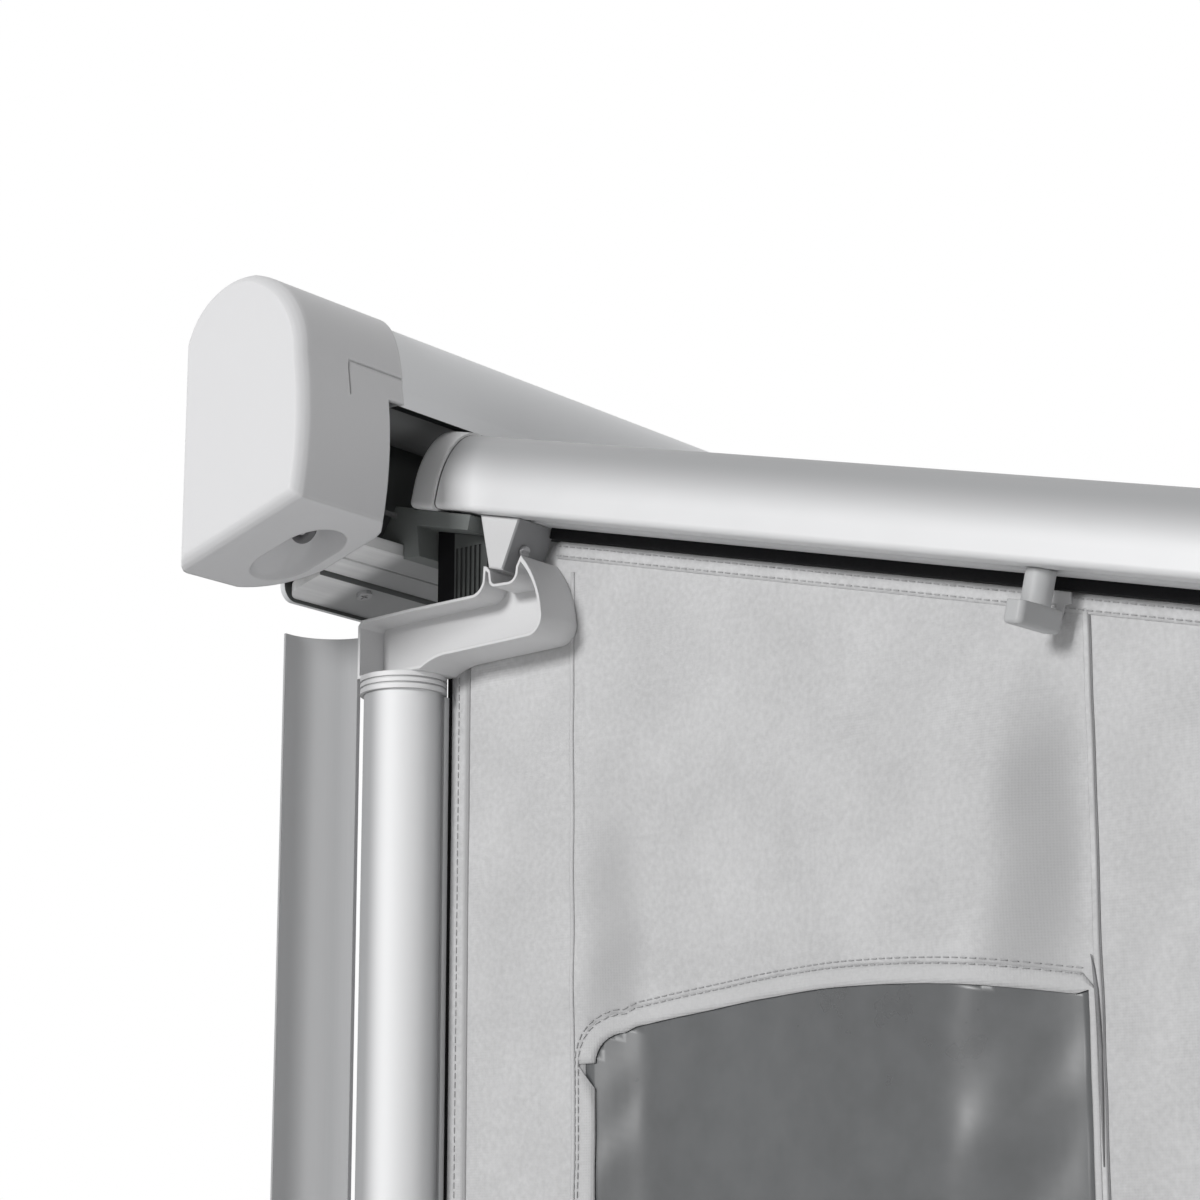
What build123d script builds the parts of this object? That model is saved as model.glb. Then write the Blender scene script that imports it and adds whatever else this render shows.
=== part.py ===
from build123d import *
from math import asin, cos, degrees, pi, radians, sin, tan
import os

os.makedirs("parts", exist_ok=True)

# A wall-mounted case awning, opened out, with a privacy wall on its left side.
# X runs along the case from its left end to its right end, -Y points away from the
# wall, Z points up. The origin is on the wall face at the middle of the case.
# All sizes are in millimetres.

# Case
case_length = 2600
case_depth = 83
case_top = 79.5
case_bottom = -64.5
bottom_rise = 24.5
back_straight_top = 50
crown_y = -44
brow_y = -80.5
brow_z = 31
nose_z = -4
chin_inset = 3.7
cap_length = 74
cap_top_overhang = 16
cap_rim = 8
cap_rim_inset = 5
cap_wall = 2.5
cap_fit = 0.3
hood_wall = 2.5
hood_back_y = -10
hood_strip_top = 58.5
lip_z = 22
lip_return = 7
back_wall = 3
floor_wall = 3
floor_front_y = -56
floor_step_y = -27
floor_step = 2
floor_groove_y = -41
rear_rim = 1
floor_lip = 6
wall_bolt_inset = 300
wall_bolt_spacing_z = 70
wall_bolt_radius = 3.25

# Slope of the canopy, the arms and the rafter
slope_angle = 13.6
arm_pivot_y = -32
arm_level_z = -7

# Roller and drive
roller_y = -42
roller_z = 44
roller_radius = 25
roller_wall = 2
wrap_thickness = 2
journal_radius = 8
journal_length = 16
running_fit = 0.05
seat_gap = 0.3
crank_inset = 48
crank_y = -40
crank_shaft_radius = 4
winch_ring_radius = 6.5
winch_wire_radius = 2.2
winch_disc_radius = 18
winch_disc_height = 5

# Folding arms
arm_inset = 220
arm_length = 900
arm_open_angle = 15
arm_height = 18
arm_width = 26
arm_wall = 2.5
arm_gap = 2
wrist_clearance = 0.6
knuckle_radius = 15
arm_pin_radius = 6
ear_height = 5
ear_gap = 0.5
arm_spring_radius = 6

# Lead rail
rail_inset = 162
rail_cap = 10
rail_back = 18
rail_depth = 44
rail_low = -30
rail_wall = 2.5
fascia_low = -34
fascia_high = 40
fascia_bulge = 6

# Canopy
canopy_thickness = 1.2
canopy_inset = 170

# Legs under the lead rail
leg_inset = 43
leg_size = 20
leg_wall = 2
leg_length = 1000
leg_overlap = 260
leg_drop = 26
leg_offset_left = 29
leg_offset_right = 52
leg_pin_radius = 3
leg_play = 0.4
foot_size = 24
foot_height = 25
ground_z = -2150

# Rafter
rafter_inset = 122
rafter_width = 44
rafter_top = 36
rafter_height = 41.7
rafter_wall = 2.5
rafter_floor = 5
rafter_corner = 3
rafter_spring = 9.7
rafter_cap_proud = 1.2
rafter_start = 50
rafter_short = 239
rafter_cap = 16
rafter_inner_length = 560
rafter_inner_stickout = 190
groove_width = 8
groove_depth = 3
groove_offset = -5
keder_offset = 14

# Side wall, its pole and the wall channel
pole_y = -42
pole_radius = 20
pole_wall = 2
pole_length = 1150
pole_overlap = 250
pole_foot_height = 20
pole_lip_reach = 18.5
collar_proud = 2
collar_height = 9
bracket_width = 28
bracket_floor = 10
bracket_rim = 1.6
channel_top = -82
channel_length = 1900
channel_wall = 2.4
fabric_offset = 16
fabric_thickness = 1.6
fabric_start_y = -62
fabric_length = 1480
fabric_bottom = -2060
fold_pitch = 200
fold_depth = 6
fold_start_y = -140
flap_out = 100.8
strip_height = 4
window_width = 262
window_centre_y = -283
window_top = -277
window_arch_radius = 900
window_height = 520
window_corner = 40
window_thickness = 0.8

# T-knob
knob_distance = 394
knob_stem_radius = 6.8
knob_stud_radius = 3.5
knob_stem_length = 15.7
knob_bar_length = 27.6
knob_bar_height = 10.5
knob_bar_width = 11

half_length = case_length / 2
cap_inner_x = -half_length + cap_length
cap_far_x = cap_inner_x + 126
profile_half = half_length - cap_length + cap_wall / 2
hood_inset = cap_wall + cap_fit
wall_bolt_spacing_x = case_length - 2 * wall_bolt_inset
crank_x = -half_length + crank_inset
arm_span = case_length - 2 * arm_inset
rail_length = case_length - 2 * rail_inset
canopy_width = case_length - 2 * canopy_inset
leg_span = rail_length - 2 * leg_inset
rafter_x = -half_length + rafter_inset
pole_x = rafter_x
fabric_x = rafter_x + fabric_offset
slope_sin = sin(radians(slope_angle))
slope_cos = cos(radians(slope_angle))
outward = Vector(0, -slope_cos, -slope_sin)
normal = Vector(0, -slope_sin, slope_cos)
arm_x = arm_span / 2


def slope_point(x, out, high):
    """World place of a point given along the slope and square to it."""
    return Vector(x, arm_pivot_y, arm_level_z) + outward * out + normal * high


def slope_level(x, high):
    """Plane parallel to the canopy; local x is X, local -y points outward."""
    return Plane(origin=slope_point(x, 0, high), x_dir=(1, 0, 0), z_dir=normal)


def slope_section(out):
    """Plane square to the slope; local x is X, local y is the height off the slope."""
    return Plane(origin=slope_point(0, out, 0), x_dir=(1, 0, 0), z_dir=outward)


def rail_section(x):
    """Plane square to X; local x is outward along the slope; extrudes towards -X."""
    return Plane(origin=slope_point(x, 0, 0), x_dir=outward, z_dir=(-1, 0, 0))


def floor_z(y):
    """Height of the case's slanted underside at a distance from the wall."""
    return case_bottom - y * bottom_rise / (case_depth - chin_inset)


def block(low, high, mode=Mode.ADD):
    """Box between two opposite corners."""
    with Locations(tuple((a + b) / 2 for a, b in zip(low, high))):
        Box(*(b - a for a, b in zip(low, high)), mode=mode)


def case_outline(x, inset=0):
    """D-shaped outline of the case: flat back, round top, bulging front, slanted bottom."""
    with BuildSketch(Plane.YZ.offset(x)) as section:
        with BuildLine():
            Line((0, case_bottom), (0, back_straight_top))
            ThreePointArc((0, back_straight_top), (-13, 70.5), (crown_y, case_top))
            ThreePointArc((crown_y, case_top), (-67, 66), (brow_y, brow_z))
            ThreePointArc((brow_y, brow_z), (-case_depth, nose_z),
                          (-case_depth + chin_inset, case_bottom + bottom_rise))
            Line((-case_depth + chin_inset, case_bottom + bottom_rise), (0, case_bottom))
        make_face()
        chin = section.vertices().sort_by(Axis.X)[0]
        fillet(chin, radius=4)
        if inset:
            offset(amount=-inset, kind=Kind.INTERSECTION)
    return section.sketch


def disc(plane, radius):
    """Round face centred on a plane's origin."""
    with BuildSketch(plane) as face:
        Circle(radius)
    return face.sketch


scoop_radius = 17
scoop_run = 17.5
scoop_middle_y = -36.7
scoop_roof = 2
scoop_top = -30
scoop_ramp_y = -33
scoop_ramp_angle = 52
scoop_rounding = 6
seam_depth = 0.8
gearbox_low = -22


def scoop_pocket(spare):
    """Pocket around the crank opening, with a roof that slopes down towards the wall."""
    roof = scoop_top - scoop_roof + spare
    ramp_start = scoop_ramp_y + spare * tan(radians(scoop_ramp_angle / 2))
    ramp_run = 45 * cos(radians(scoop_ramp_angle))
    ramp_drop = 45 * sin(radians(scoop_ramp_angle))
    with BuildPart() as pocket:
        with BuildSketch(Plane.XY.offset(case_bottom - 8)):
            with Locations(Location((crank_x, scoop_middle_y, 0), 90)):
                SlotCenterToCenter(scoop_run, 2 * (scoop_radius + spare))
        extrude(amount=60)
        with BuildSketch(Plane.YZ.offset(crank_x - 30)):
            with BuildLine():
                Polyline((-90, roof), (ramp_start, roof), (ramp_start + ramp_run, roof - ramp_drop),
                         (-90, roof - ramp_drop), close=True)
            make_face()
        extrude(amount=60, mode=Mode.INTERSECT)
        high = pocket.edges().filter_by(lambda edge: edge.center().Z > roof - 33)
        fillet(high.filter_by(lambda edge: abs(edge.tangent_at(0.5).Z) < 0.99),
               radius=scoop_rounding + spare)
    return pocket.part


def cap_seam():
    """Shallow groove around the removable front tab of a cap."""
    with BuildPart() as seam:
        block((cap_inner_x - 40, -case_depth - 1, 35), (cap_inner_x + 1, -60, 35.9))
        block((cap_inner_x - 40, -case_depth - 1, 18), (cap_inner_x - 39.2, -60, 35.9))
        extrude(case_outline(cap_inner_x - 41, seam_depth), amount=44, mode=Mode.SUBTRACT)
    return seam.part


def scoop_boss():
    """Closed pocket wall, kept inside the cap's outline."""
    with BuildPart() as boss:
        add(scoop_pocket(scoop_roof))
        extrude(case_outline(-half_length + cap_rim, cap_wall / 2), amount=cap_length,
                mode=Mode.INTERSECT)
    return boss.part


# Case back profile: rear wall with a rounded lower rim and a hook at the top
profile_left = cap_inner_x + seat_gap
hook_z = back_straight_top - 2
with BuildPart() as back_profile:
    block((profile_left, -back_wall, case_bottom - rear_rim), (-profile_left, 0, hook_z))
    fillet(back_profile.edges().filter_by(Axis.Y).group_by(Axis.Z)[0], radius=8)
    block((-half_length + cap_rim + 6, -back_wall, case_bottom + cap_wall + 12),
          (half_length - cap_rim - 6, 0, hook_z))
    block((-profile_half, -back_wall - 9, hook_z - 3), (profile_half, -back_wall, hook_z))
    with Locations(Plane.XZ):
        with GridLocations(wall_bolt_spacing_x, wall_bolt_spacing_z, 2, 2):
            Hole(wall_bolt_radius)
back_profile.part.label = "back_profile"
export_step(back_profile.part, "parts/back_profile.step")

# Case floor: slanted plate with a step, shallow grooves and a front lip
with BuildPart() as case_floor:
    with BuildSketch(Plane.YZ.offset(profile_left)):
        with BuildLine():
            Polyline(
                (-back_wall, floor_z(-back_wall)),
                (floor_step_y, floor_z(floor_step_y)),
                (floor_step_y, floor_z(floor_step_y) + floor_step + 2),
                (floor_step_y - 1.5, floor_z(floor_step_y) + floor_step + 2),
                (floor_step_y - 1.5, floor_z(floor_step_y - 1.5) + floor_step),
                (floor_groove_y, floor_z(floor_groove_y) + floor_step),
                (floor_groove_y, floor_z(floor_groove_y) + floor_step + 1.2),
                (floor_groove_y - 1.5, floor_z(floor_groove_y) + floor_step + 1.2),
                (floor_groove_y - 1.5, floor_z(floor_groove_y - 1.5) + floor_step),
                (floor_front_y, floor_z(floor_front_y) + floor_step),
                (floor_front_y, floor_z(floor_front_y) + floor_step + floor_lip),
                (floor_front_y + back_wall, floor_z(floor_front_y) + floor_step + floor_lip),
                (floor_front_y + back_wall, floor_z(floor_front_y) + floor_step + floor_wall + 1),
                (floor_step_y, floor_z(floor_step_y) + floor_step + floor_wall + 1),
                (-back_wall, floor_z(-back_wall) + floor_wall + floor_step),
                close=True,
            )
        make_face()
    extrude(amount=-2 * profile_left)
    fillet(case_floor.edges().filter_by(Axis.Z).group_by(Axis.Y)[-1], radius=9)
case_floor.part.label = "case_floor"
export_step(case_floor.part, "parts/case_floor.step")

# Hood: curved shell over the top and front, with a short return along its lower lip
with BuildPart() as hood:
    extrude(case_outline(-profile_half, hood_inset), amount=2 * profile_half)
    extrude(case_outline(-profile_half, hood_inset + hood_wall), amount=2 * profile_half,
            mode=Mode.SUBTRACT)
    block((-profile_half - 1, -case_depth, case_bottom), (profile_half + 1, 1, lip_z), mode=Mode.SUBTRACT)
    block((-profile_half - 1, hood_back_y, case_bottom), (profile_half + 1, 1, case_top),
          mode=Mode.SUBTRACT)
    lip_y = -case_depth + hood_inset + hood_wall
    block((-profile_half, lip_y - 0.5, lip_z), (profile_half, lip_y + lip_return - hood_wall, lip_z + 2))
hood.part.label = "hood"
export_step(hood.part, "parts/hood.step")

# Hood hinge strip: joins the hood's rear edge to the back profile's top hook
with BuildPart() as hood_strip:
    block((-profile_half, hood_back_y - 3.5, hook_z), (profile_half, hood_back_y + 0.5, hood_strip_top))
hood_strip.part.label = "hood_strip"
export_step(hood_strip.part, "parts/hood_strip.step")

# Depth from the end and inset of the rounded rim, from the end face to the full outline
rim_steps = [(share * cap_rim, cap_rim_inset * inset)
             for share, inset in ((0, 1), (0.15, 0.62), (0.38, 0.3), (0.68, 0.07), (1, 0))]

# End caps: deep moulded shells with a rounded rim; the left one has the crank scoop
for side in ("left", "right"):
    with BuildPart() as end_cap:
        extrude(case_outline(-half_length + cap_rim), amount=cap_length - cap_rim + cap_top_overhang)
        for near, far in zip(rim_steps, rim_steps[1:]):
            loft([case_outline(-half_length + near[0], near[1]).face(),
                  case_outline(-half_length + far[0], far[1]).face()])
        cavity_length = cap_length + cap_top_overhang - cap_rim
        extrude(case_outline(-half_length + cap_rim, cap_wall), amount=cavity_length,
                mode=Mode.SUBTRACT)
        back_low = case_bottom + cap_wall + 5
        block((-half_length + cap_rim, -12, back_low), (cap_far_x, 5, back_straight_top),
              mode=Mode.SUBTRACT)
        with BuildSketch(Plane.XZ.offset(-20)) as inner_edge:
            with BuildLine():
                Line((cap_far_x, -90), (cap_inner_x, -90))
                Line((cap_inner_x, -90), (cap_inner_x, 42))
                ThreePointArc((cap_inner_x, 42), (cap_inner_x + 5, 64),
                              (cap_inner_x + cap_top_overhang, 81))
                Line((cap_inner_x + cap_top_overhang, 81), (cap_far_x, 81))
                Line((cap_far_x, 81), (cap_far_x, -90))
            make_face()
        extrude(amount=case_depth + 40, mode=Mode.SUBTRACT)
        mouth_x = cap_inner_x - 11.5
        block((mouth_x, -case_depth - 5, case_bottom), (cap_inner_x + 1, -78, lip_z),
              mode=Mode.SUBTRACT)
        # Inner edge of the bottom plate, slanted at the front and rounded at the wall
        with BuildSketch(Plane.XY.offset(case_bottom - 5)):
            with BuildLine():
                Polyline((cap_inner_x - 35, 1), (cap_inner_x + 1, 1), (cap_inner_x + 1, -90),
                         (mouth_x, -90), (mouth_x, -79.5), (cap_inner_x - 4, -71.5),
                         (cap_inner_x - 2, -66), (cap_inner_x - 1.5, -31))
                ThreePointArc((cap_inner_x - 1.5, -31), (cap_inner_x - 9.5, -14),
                              (cap_inner_x - 35, 1))
            make_face()
        extrude(amount=34, mode=Mode.SUBTRACT)
        add(cap_seam(), mode=Mode.SUBTRACT)
        if side == "left":
            add(scoop_boss())
            add(scoop_pocket(0), mode=Mode.SUBTRACT)
            with Locations((crank_x, crank_y, gearbox_low - 5)):
                Cylinder(crank_shaft_radius + 1.5, 20, mode=Mode.SUBTRACT)
        if side == "right":
            mirror(about=Plane.YZ, mode=Mode.REPLACE)
    end_cap.part.label = side + "_end_cap"
    export_step(end_cap.part, "parts/" + side + "_end_cap.step")

# Gearbox in the left cap: takes the roller's end and the winch shaft
gearbox_right = -profile_half
gearbox_left = gearbox_right - 36
with BuildPart() as gearbox:
    block((gearbox_left, roller_y - 17, gearbox_low), (gearbox_right, roller_y + 25, roller_z + 15))
    fillet(gearbox.edges().filter_by(Axis.X), radius=5)
    with Locations(Plane(origin=(gearbox_right, roller_y, roller_z), z_dir=(1, 0, 0))):
        Hole(journal_radius + running_fit, depth=journal_length + 2)
    with Locations(Plane(origin=(crank_x, crank_y, gearbox_low), z_dir=(0, 0, -1))):
        Hole(crank_shaft_radius + running_fit, depth=14)
    # Back plate that screws to the rear wall
    block((gearbox_left + 4, roller_y + 24, 0), (gearbox_right - 4, -back_wall, 40))
gearbox.part.label = "gearbox"
export_step(gearbox.part, "parts/gearbox.step")

# Winch eye: the ring that the crank handle hooks into, on its shaft
with BuildPart() as winch_eye:
    ring_z = gearbox_low - 17
    with Locations(Plane(origin=(crank_x, crank_y, ring_z), z_dir=(1, 0, 0))):
        Torus(winch_ring_radius, winch_wire_radius)
    with Locations((crank_x, crank_y, ring_z + winch_ring_radius)):
        shaft_top = gearbox_low + 12
        Cylinder(crank_shaft_radius, shaft_top - ring_z - winch_ring_radius,
                 align=(Align.CENTER, Align.CENTER, Align.MIN))
    # Friction disc between the scoop's roof and the gearbox
    with Locations((crank_x, crank_y, scoop_top + 1)):
        Cylinder(winch_disc_radius, winch_disc_height, align=(Align.CENTER, Align.CENTER, Align.MIN))
winch_eye.part.label = "winch_eye"
export_step(winch_eye.part, "parts/winch_eye.step")

# Bearing block in the right cap
with BuildPart() as right_bearing:
    block((profile_half, roller_y - 17, roller_z - 20), (profile_half + 20, -12, roller_z + 15))
    fillet(right_bearing.edges().filter_by(Axis.X).group_by(Axis.Y)[0], radius=5)
    block((profile_half, -12, roller_z - 20), (profile_half + 20, -back_wall, hook_z - 4))
    with Locations(Plane(origin=(profile_half, roller_y, roller_z), z_dir=(-1, 0, 0))):
        Hole(journal_radius + running_fit, depth=journal_length + 2)
right_bearing.part.label = "right_bearing"
export_step(right_bearing.part, "parts/right_bearing.step")

# Roller tube with its two plugs, and the turns of canopy that stay wound on it
roller_half = profile_half - 4
with BuildPart() as roller_tube:
    with BuildSketch(Plane(origin=(-roller_half, roller_y, roller_z), z_dir=(1, 0, 0))):
        Circle(roller_radius)
        Circle(roller_radius - roller_wall, mode=Mode.SUBTRACT)
    extrude(amount=2 * roller_half)
roller_tube.part.label = "roller_tube"
export_step(roller_tube.part, "parts/roller_tube.step")

plug_depth = 30
for side in ("left", "right"):
    with BuildPart() as roller_plug:
        extrude(disc(Plane(origin=(-roller_half, roller_y, roller_z), z_dir=(1, 0, 0)),
                     roller_radius - roller_wall), amount=plug_depth)
        extrude(disc(Plane(origin=(-roller_half - 2, roller_y, roller_z), z_dir=(1, 0, 0)),
                     roller_radius - 1), amount=2)
        journal_start = -profile_half - journal_length
        extrude(disc(Plane(origin=(journal_start, roller_y, roller_z), z_dir=(1, 0, 0)),
                     journal_radius), amount=journal_length + 4)
        if side == "right":
            mirror(about=Plane.YZ, mode=Mode.REPLACE)
    roller_plug.part.label = side + "_roller_plug"
    export_step(roller_plug.part, "parts/" + side + "_roller_plug.step")

with BuildPart() as wound_canopy:
    with BuildSketch(Plane(origin=(-canopy_width / 2, roller_y, roller_z), z_dir=(1, 0, 0))):
        Circle(roller_radius + wrap_thickness)
        Circle(roller_radius, mode=Mode.SUBTRACT)
    extrude(amount=canopy_width)
wound_canopy.part.label = "wound_canopy"
export_step(wound_canopy.part, "parts/wound_canopy.step")

# Where the canopy leaves the roller, and its height above the arms
wrap_radius = roller_radius + wrap_thickness
roller_out = -(roller_y - arm_pivot_y) * slope_cos - (roller_z - arm_level_z) * slope_sin
roller_high = -(roller_y - arm_pivot_y) * slope_sin + (roller_z - arm_level_z) * slope_cos
canopy_top = roller_high - wrap_radius - seat_gap
arm_reach = 2 * arm_length * cos(radians(arm_open_angle))
rail_front = arm_reach + rail_back + rail_depth
rail_high = canopy_top - canopy_thickness - seat_gap

with BuildPart() as canopy:
    with BuildSketch(slope_level(0, canopy_top - canopy_thickness)):
        with Locations((0, -(roller_out + rail_front) / 2)):
            Rectangle(canopy_width, rail_front - roller_out)
    extrude(amount=canopy_thickness)
canopy.part.label = "canopy"
export_step(canopy.part, "parts/canopy.step")


def arm_bar(plane, start, end, height):
    """Arm link between two pivots: round knuckles joined by a straight hollow bar."""
    run = Vector(*end) - Vector(*start)
    turn = degrees(asin(run.Y / run.length))
    if run.X < 0:
        turn = 180 - turn
    middle = ((start[0] + end[0]) / 2, (start[1] + end[1]) / 2)
    with BuildPart() as bar:
        with BuildSketch(plane):
            with Locations(start, end):
                Circle(knuckle_radius)
            with Locations(Location(middle, turn)):
                Rectangle(run.length, arm_width)
        extrude(amount=height)
        bore_length = run.length - 2 * knuckle_radius - 12
        with BuildSketch(plane.offset(arm_wall)):
            with Locations(Location(middle, turn)):
                Rectangle(bore_length, arm_width - 2 * arm_wall)
        extrude(amount=height - 2 * arm_wall, mode=Mode.SUBTRACT)
        with BuildSketch(plane):
            with Locations(start, end):
                Circle(arm_pin_radius + running_fit)
        extrude(amount=height, mode=Mode.SUBTRACT)
    return bar.part


# Arms on the left side; the right ones are their mirror images
elbow_in = arm_length * sin(radians(arm_open_angle))
elbow_out = arm_length * cos(radians(arm_open_angle))
shoulder = (-arm_x, 0)
elbow = (-arm_x + elbow_in, -elbow_out)
wrist = (-arm_x, -arm_reach)
upper_low = -arm_gap / 2 - arm_height
fore_low = arm_gap / 2
pin_head = 2

for side in ("left", "right"):
    with BuildPart() as upper_arm:
        add(arm_bar(slope_level(0, upper_low), shoulder, elbow, arm_height))
        if side == "right":
            mirror(about=Plane.YZ, mode=Mode.REPLACE)
    upper_arm.part.label = side + "_upper_arm"
    export_step(upper_arm.part, "parts/" + side + "_upper_arm.step")

    with BuildPart() as forearm:
        add(arm_bar(slope_level(0, fore_low), elbow, wrist, arm_height))
        if side == "right":
            mirror(about=Plane.YZ, mode=Mode.REPLACE)
    forearm.part.label = side + "_forearm"
    export_step(forearm.part, "parts/" + side + "_forearm.step")

    with BuildPart() as arm_spring:
        spring_length = arm_length - 2 * knuckle_radius - 16
        run_x = elbow_in / arm_length
        run_out = elbow_out / arm_length
        spare = (arm_length - spring_length) / 2
        spring_start = slope_point(-arm_x + run_x * spare, run_out * spare, upper_low + arm_height / 2)
        spring_axis = Vector(run_x, 0, 0) + outward * run_out
        extrude(disc(Plane(origin=spring_start, z_dir=spring_axis), arm_spring_radius),
                amount=spring_length)
        if side == "right":
            mirror(about=Plane.YZ, mode=Mode.REPLACE)
    arm_spring.part.label = side + "_arm_spring"
    export_step(arm_spring.part, "parts/" + side + "_arm_spring.step")

    with BuildPart() as elbow_pin:
        with BuildSketch(slope_level(0, upper_low - pin_head)):
            with Locations(elbow):
                Circle(arm_pin_radius + 3)
        extrude(amount=pin_head)
        with BuildSketch(slope_level(0, upper_low)):
            with Locations(elbow):
                Circle(arm_pin_radius)
        extrude(amount=2 * arm_height + arm_gap)
        if side == "right":
            mirror(about=Plane.YZ, mode=Mode.REPLACE)
    elbow_pin.part.label = side + "_elbow_pin"
    export_step(elbow_pin.part, "parts/" + side + "_elbow_pin.step")

    with BuildPart() as shoulder_bracket:
        block((-arm_x - knuckle_radius - 4, -back_wall - 9, -44), (-arm_x + knuckle_radius + 4, -back_wall, 4))
        for level in (upper_low - ear_gap - ear_height, -arm_gap / 2 + ear_gap):
            with BuildSketch(slope_level(0, level)):
                with Locations(shoulder):
                    Circle(knuckle_radius)
                with Locations((shoulder[0], shoulder[1] + 14)):
                    Rectangle(2 * knuckle_radius, 28)
            extrude(amount=ear_height)
        with BuildSketch(slope_level(0, upper_low - 10)):
            with Locations(shoulder):
                Circle(arm_pin_radius + running_fit)
        extrude(amount=60, mode=Mode.SUBTRACT)
        block((-arm_x - 60, -back_wall, -100), (-arm_x + 60, 40, 100), mode=Mode.SUBTRACT)
        if side == "right":
            mirror(about=Plane.YZ, mode=Mode.REPLACE)
    shoulder_bracket.part.label = side + "_shoulder_bracket"
    export_step(shoulder_bracket.part, "parts/" + side + "_shoulder_bracket.step")

    with BuildPart() as shoulder_pin:
        with BuildSketch(slope_level(0, upper_low - ear_gap - ear_height)):
            with Locations(shoulder):
                Circle(arm_pin_radius)
        extrude(amount=2 * ear_height + 2 * ear_gap + arm_height)
        if side == "right":
            mirror(about=Plane.YZ, mode=Mode.REPLACE)
    shoulder_pin.part.label = side + "_shoulder_pin"
    export_step(shoulder_pin.part, "parts/" + side + "_shoulder_pin.step")

# Lead rail: hollow front profile with a bulged fascia and a fork for each wrist
rail_half = rail_length / 2
fork_levels = (fore_low - ear_gap - ear_height, fore_low + arm_height + ear_gap)
fork_top = fork_levels[1] + ear_height
with BuildPart() as lead_rail:
    with BuildSketch(rail_section(rail_half)):
        with Locations((arm_reach + rail_back + rail_depth / 2, (rail_low + rail_high) / 2)):
            Rectangle(rail_depth, rail_high - rail_low)
            Rectangle(rail_depth - 2 * rail_wall, rail_high - rail_low - 2 * rail_wall,
                      mode=Mode.SUBTRACT)
        with BuildLine():
            Line((rail_front, fascia_low), (rail_front, fascia_high))
            ThreePointArc((rail_front, fascia_high), (rail_front + fascia_bulge, 3),
                          (rail_front, fascia_low))
        make_face()
    extrude(amount=rail_length)
    for side in (-1, 1):
        for level in fork_levels:
            height = min(ear_height, rail_high - level)
            with BuildSketch(slope_level(0, level)):
                with Locations((side * arm_x, -arm_reach)):
                    Circle(knuckle_radius)
                with Locations((side * arm_x, -arm_reach - rail_back / 2)):
                    Rectangle(2 * knuckle_radius, rail_back)
            extrude(amount=height)
        with BuildSketch(slope_level(0, fork_levels[0] - 1)):
            with Locations((side * arm_x, -arm_reach)):
                Circle(arm_pin_radius + (running_fit if side < 0 else wrist_clearance))
        extrude(amount=40, mode=Mode.SUBTRACT)
lead_rail.part.label = "lead_rail"
export_step(lead_rail.part, "parts/lead_rail.step")

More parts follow.
